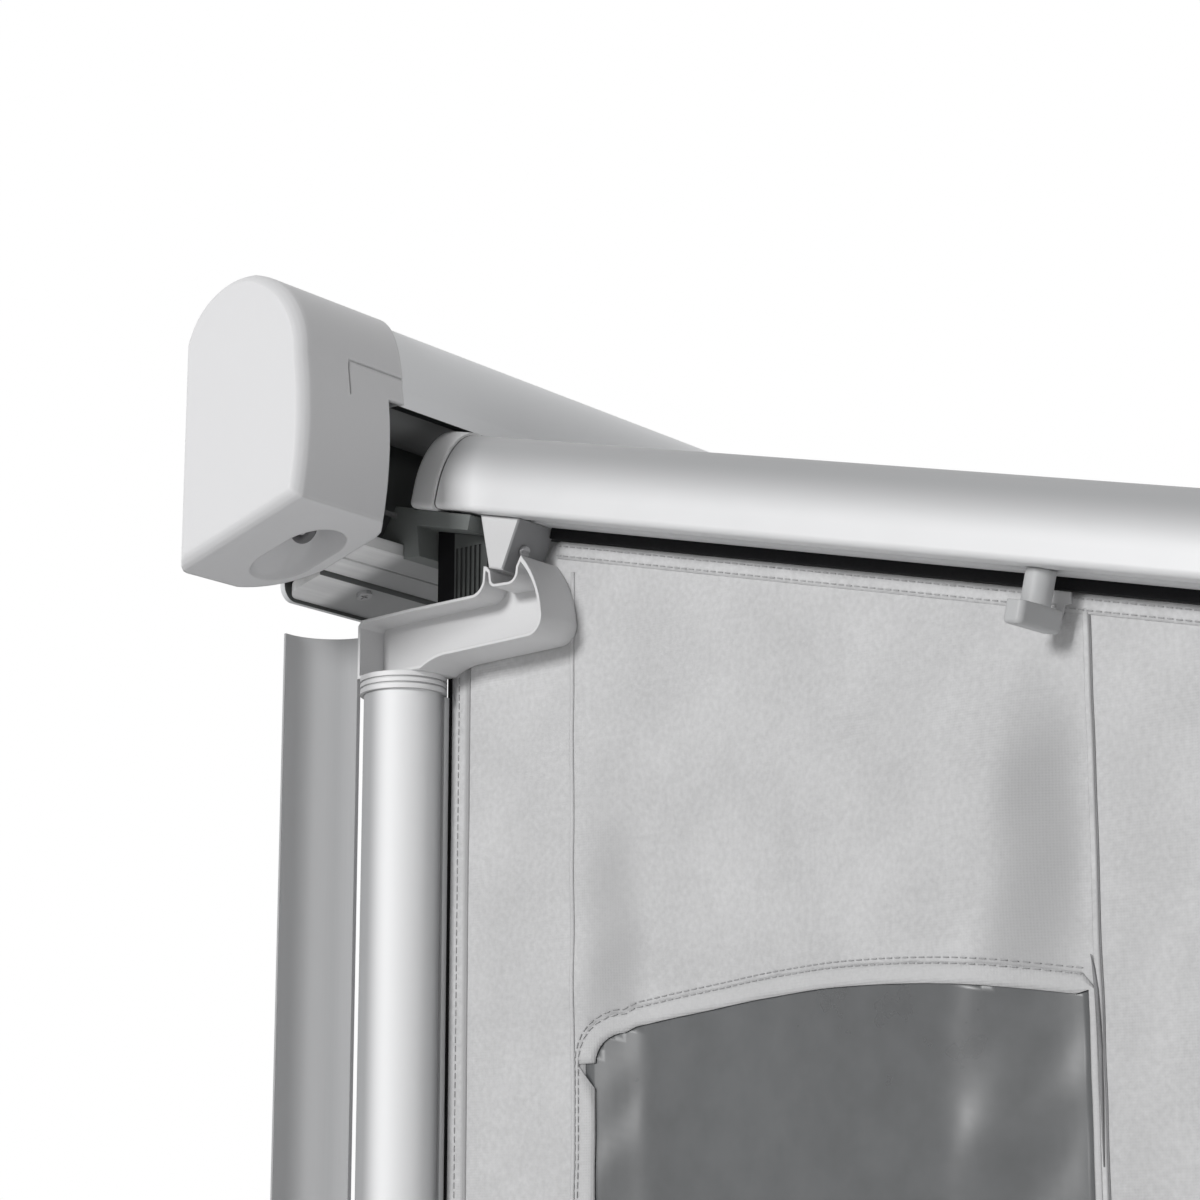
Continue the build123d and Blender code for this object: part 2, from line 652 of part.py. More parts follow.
for side, sign in (("left", -1), ("right", 1)):
    with BuildPart() as rail_end:
        with BuildSketch(rail_section(rail_half + rail_cap if sign > 0 else -rail_half)):
            with Locations((arm_reach + rail_back + rail_depth / 2, (rail_low + rail_high) / 2)):
                Rectangle(rail_depth, rail_high - rail_low)
            with BuildLine():
                Line((rail_front, fascia_low), (rail_front, fascia_high))
                ThreePointArc((rail_front, fascia_high), (rail_front + fascia_bulge, 3),
                              (rail_front, fascia_low))
            make_face()
        extrude(amount=rail_cap)
    rail_end.part.label = side + "_rail_cap"
    export_step(rail_end.part, "parts/" + side + "_rail_cap.step")

    with BuildPart() as wrist_pin:
        with BuildSketch(slope_level(0, fork_levels[0])):
            with Locations((sign * arm_x, -arm_reach)):
                Circle(arm_pin_radius)
        extrude(amount=min(fork_top, rail_high) - fork_levels[0])
    wrist_pin.part.label = side + "_wrist_pin"
    export_step(wrist_pin.part, "parts/" + side + "_wrist_pin.step")

    # Leg: hinge lug under the rail, outer tube, inner tube, foot and lock
    leg_x = sign * leg_span / 2
    leg_offset = leg_offset_left if side == "left" else leg_offset_right
    pivot = slope_point(leg_x, arm_reach + leg_offset, rail_low - leg_drop)
    half = leg_size / 2
    lug_half = half - leg_wall - 0.5
    with BuildPart() as leg_hinge:
        rail_floor = rail_section(leg_x + half)
        with BuildSketch(rail_floor):
            with Locations((arm_reach + leg_offset, rail_low - 2)):
                Rectangle(leg_size, 4)
        extrude(amount=leg_size)
        block((leg_x - 5, pivot.Y - lug_half, pivot.Z - 7), (leg_x + 5, pivot.Y + lug_half, pivot.Z + leg_drop))
        with BuildSketch(rail_floor):
            with Locations((arm_reach + leg_offset, rail_low + 40)):
                Rectangle(200, 80)
        extrude(amount=leg_size, mode=Mode.SUBTRACT)
        extrude(disc(Plane(origin=(leg_x, pivot.Y - half, pivot.Z), z_dir=(0, 1, 0)), leg_pin_radius),
                amount=leg_size)
    leg_hinge.part.label = side + "_leg_hinge"
    export_step(leg_hinge.part, "parts/" + side + "_leg_hinge.step")

    with BuildPart() as leg_outer:
        tube_top = pivot.Z + 8
        tube_low = pivot.Z - leg_length
        block((leg_x - half, pivot.Y - half, tube_low), (leg_x + half, pivot.Y + half, tube_top))
        fillet(leg_outer.edges().filter_by(Axis.Z), radius=3)
        # Locking catch near the tube's lower end
        catch_x = leg_x + sign * (half + 1)
        block((catch_x - 5, pivot.Y - 6, tube_low + 6), (catch_x + 5, pivot.Y + 6, tube_low + 34))
        inner = half - leg_wall
        block((leg_x - inner, pivot.Y - inner, tube_low), (leg_x + inner, pivot.Y + inner, tube_top),
              mode=Mode.SUBTRACT)
        block((leg_x - half, pivot.Y - inner, pivot.Z - 16), (leg_x + half, pivot.Y + inner, tube_top),
              mode=Mode.SUBTRACT)
        with Locations(Plane(origin=(leg_x, pivot.Y + half, pivot.Z), z_dir=(0, 1, 0))):
            Hole(leg_pin_radius + running_fit)
    leg_outer.part.label = side + "_leg_outer"
    export_step(leg_outer.part, "parts/" + side + "_leg_outer.step")

    with BuildPart() as leg_inner:
        bar = half - leg_wall - leg_play
        block((leg_x - bar, pivot.Y - bar, ground_z + foot_height),
              (leg_x + bar, pivot.Y + bar, tube_low + leg_overlap))
        hollow = bar - leg_wall
        block((leg_x - hollow, pivot.Y - hollow, ground_z + foot_height),
              (leg_x + hollow, pivot.Y + hollow, tube_low + leg_overlap), mode=Mode.SUBTRACT)
    leg_inner.part.label = side + "_leg_inner"
    export_step(leg_inner.part, "parts/" + side + "_leg_inner.step")

    with BuildPart() as leg_foot:
        block((leg_x - foot_size / 2, pivot.Y - half, ground_z),
              (leg_x + foot_size / 2, pivot.Y + half, ground_z + foot_height))
        fillet(leg_foot.edges().filter_by(Axis.Z), radius=4)
        chamfer(leg_foot.faces().sort_by(Axis.Z)[-1].edges(), length=2)
    leg_foot.part.label = side + "_leg_foot"
    export_step(leg_foot.part, "parts/" + side + "_leg_foot.step")

# Rafter: arched tube that keeps the canopy taut, docked at the case's left mouth
rafter_low = rafter_top - rafter_height
arch_radius = rafter_width / 2


def rafter_outline(out, inset, floor):
    """Arched section of the rafter, made smaller all round and cut at a floor height."""
    radius = arch_radius - inset
    low = rafter_low + floor
    spring = rafter_low + rafter_spring
    with BuildSketch(slope_section(out)) as section:
        with BuildLine():
            Line((rafter_x - radius, spring), (rafter_x - radius, low))
            Line((rafter_x - radius, low), (rafter_x + radius, low))
            Line((rafter_x + radius, low), (rafter_x + radius, spring))
            EllipticalCenterArc((rafter_x, spring), radius, rafter_top - inset - spring,
                                arc_size=180)
        make_face()
        fillet(section.vertices().group_by(Axis.Y)[0], radius=rafter_corner - max(inset, 0) / 2)
    return section.sketch


groove_x = rafter_x + groove_offset
rafter_length = arm_reach - rafter_short
with BuildPart() as rafter_tube:
    extrude(rafter_outline(rafter_start, 0, 0), amount=rafter_length)
    extrude(rafter_outline(rafter_start, rafter_wall, rafter_floor), amount=rafter_length,
            mode=Mode.SUBTRACT)
    with BuildSketch(slope_section(rafter_start)):
        with Locations((groove_x, rafter_low), (rafter_x + keder_offset, rafter_low)):
            Rectangle(groove_width, 2 * groove_depth)
    extrude(amount=rafter_length, mode=Mode.SUBTRACT)
rafter_tube.part.label = "rafter_tube"
export_step(rafter_tube.part, "parts/rafter_tube.step")

with BuildPart() as rafter_end_cap:
    extrude(rafter_outline(rafter_start - rafter_cap, -rafter_cap_proud, -rafter_cap_proud),
            amount=rafter_cap - 0.2)
    fillet(rafter_end_cap.faces().sort_by(Axis.Y)[-1].edges(), radius=2.5)
rafter_end_cap.part.label = "rafter_end_cap"
export_step(rafter_end_cap.part, "parts/rafter_end_cap.step")

tube_end = rafter_start + rafter_length
slide_play = 0.4
with BuildPart() as rafter_slide:
    inner_start = tube_end + rafter_inner_stickout - rafter_inner_length
    extrude(rafter_outline(inner_start, rafter_wall + slide_play, rafter_floor + slide_play),
            amount=rafter_inner_length)
    extrude(rafter_outline(inner_start, 2 * rafter_wall, rafter_floor + rafter_wall),
            amount=rafter_inner_length, mode=Mode.SUBTRACT)
rafter_slide.part.label = "rafter_slide"
export_step(rafter_slide.part, "parts/rafter_slide.step")

with BuildPart() as rafter_nose:
    nose_start = tube_end + rafter_inner_stickout
    extrude(rafter_outline(nose_start, 0, 0), amount=14)
    fillet(rafter_nose.faces().sort_by(Axis.Y)[0].edges(), radius=4)
    # Hook that drops over the end of the lead rail
    hook_low = slope_point(0, nose_start + 7, rafter_top - 8)
    block((rafter_x + arch_radius - 2, hook_low.Y - 6, hook_low.Z - 14),
          (-rail_half - rail_cap - 4, hook_low.Y + 6, hook_low.Z + 2))
rafter_nose.part.label = "rafter_nose"
export_step(rafter_nose.part, "parts/rafter_nose.step")

# Rafter shoe: dark plate that carries the rafter's end on the case's floor lip
shoe_width = 30
flap_left_y = -67.5
tongue = 7.8
lip_top = floor_z(floor_front_y) + floor_step + floor_lip
cap_low = rafter_low - rafter_cap_proud - seat_gap
shoe_right = rafter_x + shoe_width / 2 - 3


def slope_yz(out, high):
    """Y and Z of a point on the slope."""
    point = slope_point(0, out, high)
    return (point.Y, point.Z)


with BuildPart() as rafter_shoe:
    with BuildSketch(Plane.YZ.offset(shoe_right - shoe_width)):
        with BuildLine():
            Polyline(
                slope_yz(21, rafter_low - 0.8),
                slope_yz(rafter_start - rafter_cap - seat_gap, rafter_low - 0.8),
                slope_yz(rafter_start - rafter_cap - seat_gap, cap_low),
                slope_yz(72, cap_low),
                slope_yz(72, cap_low - tongue),
                slope_yz(37.5, cap_low - tongue),
                (flap_left_y + 0.6, lip_top - 7.5),
                (floor_front_y - 0.5, lip_top - 7.5),
                (floor_front_y - 0.5, lip_top + 0.3),
                (-38.5, lip_top + 0.3),
                close=True,
            )
        make_face()
    extrude(amount=shoe_width)
rafter_shoe.part.label = "rafter_shoe"
export_step(rafter_shoe.part, "parts/rafter_shoe.step")

# Corner flap: black-edged ribbed seal between the case, the shoe and the corner bracket
flap_right_y = -99.6
flap_low = -70.3
flap_border = 11
flap_top_border = 3
flap_thickness = 3
flap_x = rafter_x - 4
rib_pitch = 3
with BuildPart() as corner_flap:
    flap_top = cap_low - tongue - seat_gap
    with BuildSketch(Plane.YZ.offset(flap_x)):
        with BuildLine():
            left_out = (arm_pivot_y - flap_left_y - slope_sin * flap_top) / slope_cos
            right_out = (arm_pivot_y - flap_right_y - slope_sin * flap_top) / slope_cos
            Polyline((flap_left_y, flap_low), slope_yz(left_out, flap_top),
                     slope_yz(right_out, flap_top), (flap_right_y, flap_low), close=True)
        make_face()
    extrude(amount=flap_thickness)
    field_top = slope_yz(right_out, flap_top)[1] - flap_top_border
    rib_count = int((flap_left_y - flap_right_y - flap_border - 2) / rib_pitch)
    for rib in range(rib_count):
        slot_y = flap_left_y - flap_border - (rib + 0.5) * rib_pitch
        block((flap_x - 1, slot_y - 0.8, flap_low + 2), (flap_x + 1.2, slot_y + 0.8, field_top),
              mode=Mode.SUBTRACT)
corner_flap.part.label = "corner_flap"
export_step(corner_flap.part, "parts/corner_flap.step")

# Hanger block under the rafter; the corner bracket hooks onto it
bracket_left = rafter_x - bracket_width / 2
with BuildPart() as hanger_block:
    with BuildSketch(Plane.YZ.offset(bracket_left)):
        with BuildLine():
            Polyline(slope_yz(74.5, rafter_low - seat_gap), slope_yz(100.5, rafter_low - seat_gap),
                     (-117.6, -61), (-108.6, -58.5), close=True)
        make_face()
    extrude(amount=bracket_width)
    chamfer(hanger_block.faces().sort_by(Axis.X)[0].edges(), length=0.8)
    # Foot that keys into the rafter's groove
    with BuildSketch(slope_level(0, rafter_low - seat_gap)):
        with Locations((groove_x, -87.5)):
            Rectangle(groove_width - 1, 20)
    extrude(amount=groove_depth)
hanger_block.part.label = "hanger_block"
export_step(hanger_block.part, "parts/hanger_block.step")

hanger_face = Vector(0, -0.907, -0.421)
with BuildPart() as hanger_screw:
    seat = Plane(origin=(rafter_x - 4, -122.6, -50.4), z_dir=hanger_face)
    extrude(disc(seat.offset(0.05), 3), amount=2)
    with Locations(seat.offset(2)):
        Box(1, 7, 1, mode=Mode.SUBTRACT)
hanger_screw.part.label = "hanger_screw"
export_step(hanger_screw.part, "parts/hanger_screw.step")

# Corner bracket: tray-shaped casting between the wall pole and the hanger block
bracket_low = -103.5
bracket_edge = pole_y + pole_radius - 1
with BuildPart() as corner_bracket:
    with BuildSketch(Plane.YZ.offset(bracket_left)):
        with BuildLine():
            Polyline((bracket_edge, bracket_low), (bracket_edge, -76), (bracket_edge - 2.5, -73.2),
                     (-58, -71.9), (-98.8, -71))
            ThreePointArc((-98.8, -71), (-103.2, -68.6), (-105.3, -64.2))
            Polyline((-105.3, -64.2), (-105.7, -57.4), (-107.4, -57.7), (-109.8, -60.3),
                     (-110.4, -64.6))
            ThreePointArc((-110.4, -64.6), (-111.2, -66.6), (-113, -67.4))
            Line((-113, -67.4), (-120.6, -67.6))
            ThreePointArc((-120.6, -67.6), (-124.7, -66.2), (-126.1, -63))
            Polyline((-126.1, -63), (-126.4, -60.6), (-129.3, -55.4))
            ThreePointArc((-129.3, -55.4), (-138.2, -69.4), (-142.2, -85.5))
            ThreePointArc((-142.2, -85.5), (-140.6, -93), (-134, -96.8))
            Line((-134, -96.8), (-84, -98.6))
            ThreePointArc((-84, -98.6), (-74, -99.8), (-65, bracket_low))
            Line((-65, bracket_low), (bracket_edge, bracket_low))
        make_face()
    extrude(amount=bracket_width)
    # Tray: leaves a thin rim all round and stays out of the prong and the horn's tip
    tray_edge = bracket_edge - bracket_rim
    tray_low = bracket_low + bracket_rim
    with BuildSketch(Plane.YZ.offset(bracket_left)):
        with BuildLine():
            Polyline((tray_edge, tray_low), (tray_edge, -77), (tray_edge - 2, -74.9), (-58, -73.5),
                     (-98.4, -72.5))
            ThreePointArc((-98.4, -72.5), (-104, -70), (-106.6, -64.6))
            Polyline((-106.6, -64.6), (-107, -59.8), (-108.6, -61.2), (-109.1, -65.2))
            ThreePointArc((-109.1, -65.2), (-110.2, -67.6), (-112.6, -68.8))
            Line((-112.6, -68.8), (-120.8, -69))
            ThreePointArc((-120.8, -69), (-125.8, -67.2), (-127.5, -63.4))
            Polyline((-127.5, -63.4), (-127.7, -61.2), (-129.2, -58.6))
            ThreePointArc((-129.2, -58.6), (-136.8, -70.2), (-140.6, -85.5))
            ThreePointArc((-140.6, -85.5), (-139.3, -92), (-133.8, -95.2))
            Line((-133.8, -95.2), (-84, -97))
            ThreePointArc((-84, -97), (-73.5, -98.3), (-65.6, tray_low))
            Line((-65.6, tray_low), (tray_edge, tray_low))
        make_face()
    extrude(amount=bracket_width - bracket_floor, mode=Mode.SUBTRACT)
corner_bracket.part.label = "corner_bracket"
export_step(corner_bracket.part, "parts/corner_bracket.step")

# Wall pole: ringed collar, outer tube with a lip for the side strip, inner tube and foot
collar_low = bracket_low - collar_height
collar_floor = 3
collar_radius = pole_radius + collar_proud
pole_top = bracket_low - collar_floor
pole_low = pole_top - pole_length


def upright(z, radius, height, mode=Mode.ADD):
    """Upright cylinder on the pole's axis, standing on a height."""
    with Locations((pole_x, pole_y, z)):
        Cylinder(radius, height, align=(Align.CENTER, Align.CENTER, Align.MIN), mode=mode)


with BuildPart() as pole_collar:
    upright(collar_low, collar_radius, collar_height)
    for ring in (1, 2):
        groove_z = collar_low + ring * collar_height / 3 - 0.4
        with Locations((pole_x, pole_y, groove_z)):
            Cylinder(collar_radius + 1, 0.8, align=(Align.CENTER, Align.CENTER, Align.MIN),
                     mode=Mode.SUBTRACT)
        upright(groove_z, collar_radius - 0.8, 0.8)
    upright(collar_low, pole_radius + running_fit, collar_height - collar_floor, mode=Mode.SUBTRACT)
pole_collar.part.label = "pole_collar"
export_step(pole_collar.part, "parts/pole_collar.step")

strip_left = pole_x + 14
with BuildPart() as wall_pole:
    upright(pole_low, pole_radius, pole_length)
    block((pole_x + 10.4, pole_y - pole_lip_reach, pole_low), (strip_left, pole_y - 13, collar_low - 1))
    upright(pole_low, pole_radius - pole_wall, pole_length, mode=Mode.SUBTRACT)
wall_pole.part.label = "wall_pole"
export_step(wall_pole.part, "parts/wall_pole.step")

pole_bore = pole_radius - pole_wall - slide_play
with BuildPart() as pole_inner:
    inner_low = ground_z + pole_foot_height
    inner_height = pole_low + pole_overlap - inner_low
    upright(inner_low, pole_bore, inner_height)
    upright(inner_low, pole_bore - pole_wall, inner_height, mode=Mode.SUBTRACT)
pole_inner.part.label = "pole_inner"
export_step(pole_inner.part, "parts/pole_inner.step")

with BuildPart() as pole_foot:
    upright(ground_z, pole_radius - 1, pole_foot_height)
    chamfer(pole_foot.edges().group_by(Axis.Z)[0], length=3)
pole_foot.part.label = "pole_foot"
export_step(pole_foot.part, "parts/pole_foot.step")

# Wall channel beside the pole: wall flange, cove and web
channel_low = channel_top - channel_length
channel_left = rafter_x - 44
channel_right = rafter_x - 11
channel_reach = 22.6
with BuildPart() as wall_channel:
    with BuildSketch(Plane.XY.offset(channel_low)):
        with BuildLine():
            Line((channel_left, 0), (channel_left, -1.2))
            ThreePointArc((channel_left, -1.2), (channel_right - 11.5, -7.4),
                          (channel_right - channel_wall, -channel_reach))
            Polyline((channel_right - channel_wall, -channel_reach), (channel_right, -channel_reach),
                     (channel_right, 0), (channel_left, 0))
        make_face()
        with BuildLine():
            Polyline((channel_right - 14, -channel_wall), (channel_right - channel_wall, -channel_wall),
                     (channel_right - channel_wall, -12), (channel_right - 14, -channel_wall))
        make_face(mode=Mode.SUBTRACT)
    extrude(amount=channel_length)
wall_channel.part.label = "wall_channel"
export_step(wall_channel.part, "parts/wall_channel.step")

# T-knob on the rafter and the tab behind it
strip_high = rafter_low - seat_gap - 1
cloth_top = strip_high - strip_height - seat_gap
with BuildPart() as t_knob:
    with BuildSketch(slope_level(0, rafter_low - knob_stem_length)):
        with Locations((groove_x, -knob_distance)):
            Circle(knob_stem_radius)
    extrude(amount=knob_stem_length - 0.3)
    with BuildSketch(slope_level(0, rafter_low - knob_stem_length)):
        with Locations((groove_x, -knob_distance)):
            Circle(knob_stud_radius)
    extrude(amount=knob_stem_length + groove_depth - 0.3)
    with BuildSketch(slope_level(0, rafter_low - knob_stem_length - knob_bar_height)) as bar_face:
        with Locations((groove_x, -knob_distance)):
            Rectangle(knob_bar_length, knob_bar_width, rotation=-13)
        fillet(bar_face.vertices(), radius=3)
    extrude(amount=knob_bar_height)
    fillet(t_knob.faces().sort_by(Axis.Z)[0].edges(), radius=2)
t_knob.part.label = "t_knob"
export_step(t_knob.part, "parts/t_knob.step")

with BuildPart() as knob_hook:
    hook_x = fabric_x - fabric_thickness - seat_gap
    with BuildSketch(Plane.YZ.offset(hook_x)):
        with BuildLine():
            hook_out = knob_distance + 5.7
            hook_top = cloth_top - seat_gap
            Polyline(slope_yz(hook_out - 18, hook_top), slope_yz(hook_out, hook_top),
                     slope_yz(hook_out + 1, hook_top - 5), slope_yz(hook_out - 2, hook_top - 6),
                     slope_yz(hook_out - 2.5, hook_top - 12), slope_yz(hook_out - 5, hook_top - 12),
                     slope_yz(hook_out - 6, hook_top - 6), slope_yz(hook_out - 18, hook_top - 6),
                     close=True)
        make_face()
    extrude(amount=-1.6)
knob_hook.part.label = "knob_hook"
export_step(knob_hook.part, "parts/knob_hook.step")

# Side wall: hanging cloth with its main folds, sewn to a top strip and a side strip


def cloth_profile(z, face_out, thickness, start_y, end_y):
    """Plan of the cloth: folds swell to +X, flat near the pole; face_out shifts it to -X."""
    steps = max(4, round(abs(end_y - start_y) / 25))
    front = []
    for step in range(steps + 1):
        y = start_y + (end_y - start_y) * step / steps
        swell = 0.5 - 0.5 * cos(2 * pi * (fold_start_y - y) / fold_pitch) if y < fold_start_y else 0
        front.append((fabric_x - fabric_thickness - face_out + fold_depth * swell, y))
    back = [(x + thickness, y) for x, y in front]
    with BuildSketch(Plane.XY.offset(z)) as plan:
        with BuildLine():
            Spline(front)
            Line(front[-1], back[-1])
            Spline(back[::-1])
            Line(back[0], front[0])
        make_face()
    return plan.sketch


with BuildPart() as side_wall:
    fabric_end_y = fabric_start_y - fabric_length
    extrude(cloth_profile(fabric_bottom, 0, fabric_thickness, fabric_start_y, fabric_end_y),
            amount=-fabric_bottom)
    with BuildSketch(Plane.YZ.offset(fabric_x - 40)):
        with BuildLine():
            Polyline((fabric_start_y + 10, -91.5), (fabric_start_y, -91.5), (-110, -75),
                     slope_yz(flap_out, cloth_top),
                     slope_yz(fabric_length * 1.2, cloth_top), (fabric_end_y * 1.2, 20),
                     (fabric_start_y + 10, 20), close=True)
        make_face()
    extrude(amount=80, mode=Mode.SUBTRACT)
side_wall.part.label = "side_wall"
export_step(side_wall.part, "parts/side_wall.step")

with BuildPart() as side_window:
    window_near = window_centre_y + window_width / 2
    window_far = window_centre_y - window_width / 2
    window_low = window_top - window_height
    window_shoulder = window_top - window_width ** 2 / 8 / window_arch_radius
    extrude(cloth_profile(window_low, seat_gap + window_thickness, window_thickness,
                          window_near, window_far), amount=window_height)
    with BuildSketch(Plane.YZ.offset(fabric_x - 40)) as window_face:
        with BuildLine():
            Polyline((window_near, window_shoulder), (window_near, window_low),
                     (window_far, window_low), (window_far, window_shoulder))
            ThreePointArc((window_far, window_shoulder), (window_centre_y, window_top),
                          (window_near, window_shoulder))
        make_face()
        fillet(window_face.vertices().group_by(Axis.Y)[0], radius=window_corner)
    extrude(amount=80, mode=Mode.INTERSECT)
side_window.part.label = "side_window"
export_step(side_window.part, "parts/side_window.step")

strip_out = 100.8
with BuildPart() as top_strip:
    strip_length = rafter_start + rafter_length - strip_out
    with BuildSketch(slope_section(strip_out)):
        with Locations((rafter_x + 15, strip_high - strip_height / 2)):
            Rectangle(8, strip_height)
        # Bead that holds the strip in the rafter's groove
        with Locations((rafter_x + keder_offset, (strip_high + rafter_low + groove_depth - 0.4) / 2)):
            Rectangle(groove_width - 2, rafter_low + groove_depth - 0.4 - strip_high)
    extrude(amount=strip_length)
top_strip.part.label = "top_strip"
export_step(top_strip.part, "parts/top_strip.step")

with BuildPart() as side_strip:
    block((strip_left + 0.4, fabric_start_y + seat_gap, fabric_bottom),
          (fabric_x + 2, fabric_start_y + 2.8, collar_low + 19.5))
side_strip.part.label = "side_strip"
export_step(side_strip.part, "parts/side_strip.step")

# Screws under the case floor, one near each end
screw_x = half_length - 113
screw_y = -22
with BuildPart() as case_screws:
    floor_down = Vector(0, -bottom_rise, -(case_depth - chin_inset)).normalized()
    for sign in (-1, 1):
        seat = Plane(origin=(sign * screw_x, screw_y, floor_z(screw_y)), z_dir=floor_down)
        extrude(disc(seat, 4), amount=2)
        with Locations(seat.offset(2)):
            Box(5, 1, 1.2, mode=Mode.SUBTRACT)
            Box(1, 5, 1.2, mode=Mode.SUBTRACT)
case_screws.part.label = "case_screws"
export_step(case_screws.part, "parts/case_screws.step")
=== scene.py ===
import bpy, math
from mathutils import Vector, Matrix, noise


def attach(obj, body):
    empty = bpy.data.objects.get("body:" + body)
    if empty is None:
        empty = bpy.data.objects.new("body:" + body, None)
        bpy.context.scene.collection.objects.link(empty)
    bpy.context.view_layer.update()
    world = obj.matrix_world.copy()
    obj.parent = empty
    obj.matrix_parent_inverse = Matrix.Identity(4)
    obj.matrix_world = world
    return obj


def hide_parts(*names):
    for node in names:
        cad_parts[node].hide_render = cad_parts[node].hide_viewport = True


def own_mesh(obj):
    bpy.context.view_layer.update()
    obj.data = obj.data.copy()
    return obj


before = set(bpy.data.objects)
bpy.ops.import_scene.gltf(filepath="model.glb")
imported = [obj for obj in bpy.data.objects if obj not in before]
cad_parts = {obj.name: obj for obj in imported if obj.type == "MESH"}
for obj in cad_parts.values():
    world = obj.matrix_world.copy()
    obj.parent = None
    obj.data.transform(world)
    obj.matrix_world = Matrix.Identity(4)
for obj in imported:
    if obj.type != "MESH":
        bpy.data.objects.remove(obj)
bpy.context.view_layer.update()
bpy.context.scene.view_settings.view_transform = "Standard"

WHITE = (1, 1, 1, 1)


def new_object(name, data):
    ob = bpy.data.objects.new(name, data)
    bpy.context.scene.collection.objects.link(ob)
    return ob


# Camera: place, direction and lens (mm, on a frame 36 mm wide) as fitted to the photograph
LENS, FRAME_WIDTH, CLIP_END = 93.0, 36.0, 60.0
CAMERA_PLACE = (-2.3317, -1.0593, -0.4365)
YAW, PITCH = math.radians(52.3), math.radians(13.7)

camera_data = bpy.data.cameras.new("camera")
camera_data.lens = LENS
camera_data.sensor_width = FRAME_WIDTH
camera_data.clip_end = CLIP_END
camera = new_object("camera", camera_data)
forward = Vector((math.sin(YAW) * math.cos(PITCH), math.cos(YAW) * math.cos(PITCH),
                  math.sin(PITCH)))
rightward = Vector((math.cos(YAW), -math.sin(YAW), 0.0))
upward = rightward.cross(forward)
turn = Matrix((rightward, upward, -forward)).transposed().to_4x4()
camera.matrix_world = Matrix.Translation(CAMERA_PLACE) @ turn
bpy.context.scene.camera = camera

# World: low soft ambient on surfaces, plain white for camera, mirror and glass rays
AMBIENT, BACKDROP = 0.18, 1.0

world = bpy.data.worlds.new("world")
bpy.context.scene.world = world
world.use_nodes = True
sky = world.node_tree
sky.nodes.clear()
out = sky.nodes.new("ShaderNodeOutputWorld")
mix = sky.nodes.new("ShaderNodeMixShader")
path = sky.nodes.new("ShaderNodeLightPath")
for socket, strength in ((1, AMBIENT), (2, BACKDROP)):
    light = sky.nodes.new("ShaderNodeBackground")
    light.inputs["Strength"].default_value = strength
    light.inputs["Color"].default_value = WHITE
    sky.links.new(light.outputs[0], mix.inputs[socket])
seen = path.outputs["Is Camera Ray"]
for ray in ("Is Transmission Ray", "Is Glossy Ray"):
    most = sky.nodes.new("ShaderNodeMath")
    most.operation = "MAXIMUM"
    sky.links.new(seen, most.inputs[0])
    sky.links.new(path.outputs[ray], most.inputs[1])
    seen = most.outputs[0]
sky.links.new(seen, mix.inputs[0])
sky.links.new(mix.outputs[0], out.inputs[0])


def lamp(name, place, aim, size, power):
    data = bpy.data.lights.new(name, "AREA")
    data.shape = "SQUARE"
    data.size = size
    data.energy = power
    ob = new_object(name, data)
    ob.location = place
    ob.rotation_euler = (Vector(aim) - Vector(place)).to_track_quat("-Z", "Y").to_euler()


# Lamps: the key comes from low on the left, as the T-knob's shadow in the photograph shows
CORNER = (-1.1, -0.2, -0.1)
lamp("key", (-9.56, 0.98, 2.03), CORNER, 1.7, 500)
lamp("fill", (1.2, -6.7, -1.1), CORNER, 3.0, 81)
lamp("overhead", (-0.3, -0.9, 4.4), (-0.3, -0.9, 0.0), 3.0, 40)
lamp("bounce", (-2.2, -1.6, -2.1), CORNER, 2.5, 5)

# Materials: each mixes two close shades by fine grain and broad blotches, which vary its
# roughness too, and has a fine bump; most soften hard edges, and many make them a little paler:
# wear on most, painted highlight on the case's end caps and the rafter's end cap
FINE_SHARE, BROAD_SHARE = 0.55, 0.45
SHADE_NOISE, ROUGH_NOISE, PALE_EDGE_NOISE = (0.32, 0.68), (0.3, 0.7), (0.35, 0.6)
SPLIT_BLUR = 0.0002
CASE_MIDDLE, TURNED_IN = (0.0, -0.042, 0.010), (-0.001, -0.004)
PALE_EDGE_WIDTH, BEVEL_SAMPLES = 1.5, 4
NO_PALE_EDGE, FULL_PALE_EDGE, LEAST_PALE_EDGE = 0.98, 0.86, 0.3
PALE_EDGE_GAIN, PALE_EDGE_LIFT = 1.35, 0.06
SHEEN_ROUGHNESS = 0.5
WAVE_SCALE, WAVE_WARP = 0.314, 0.6


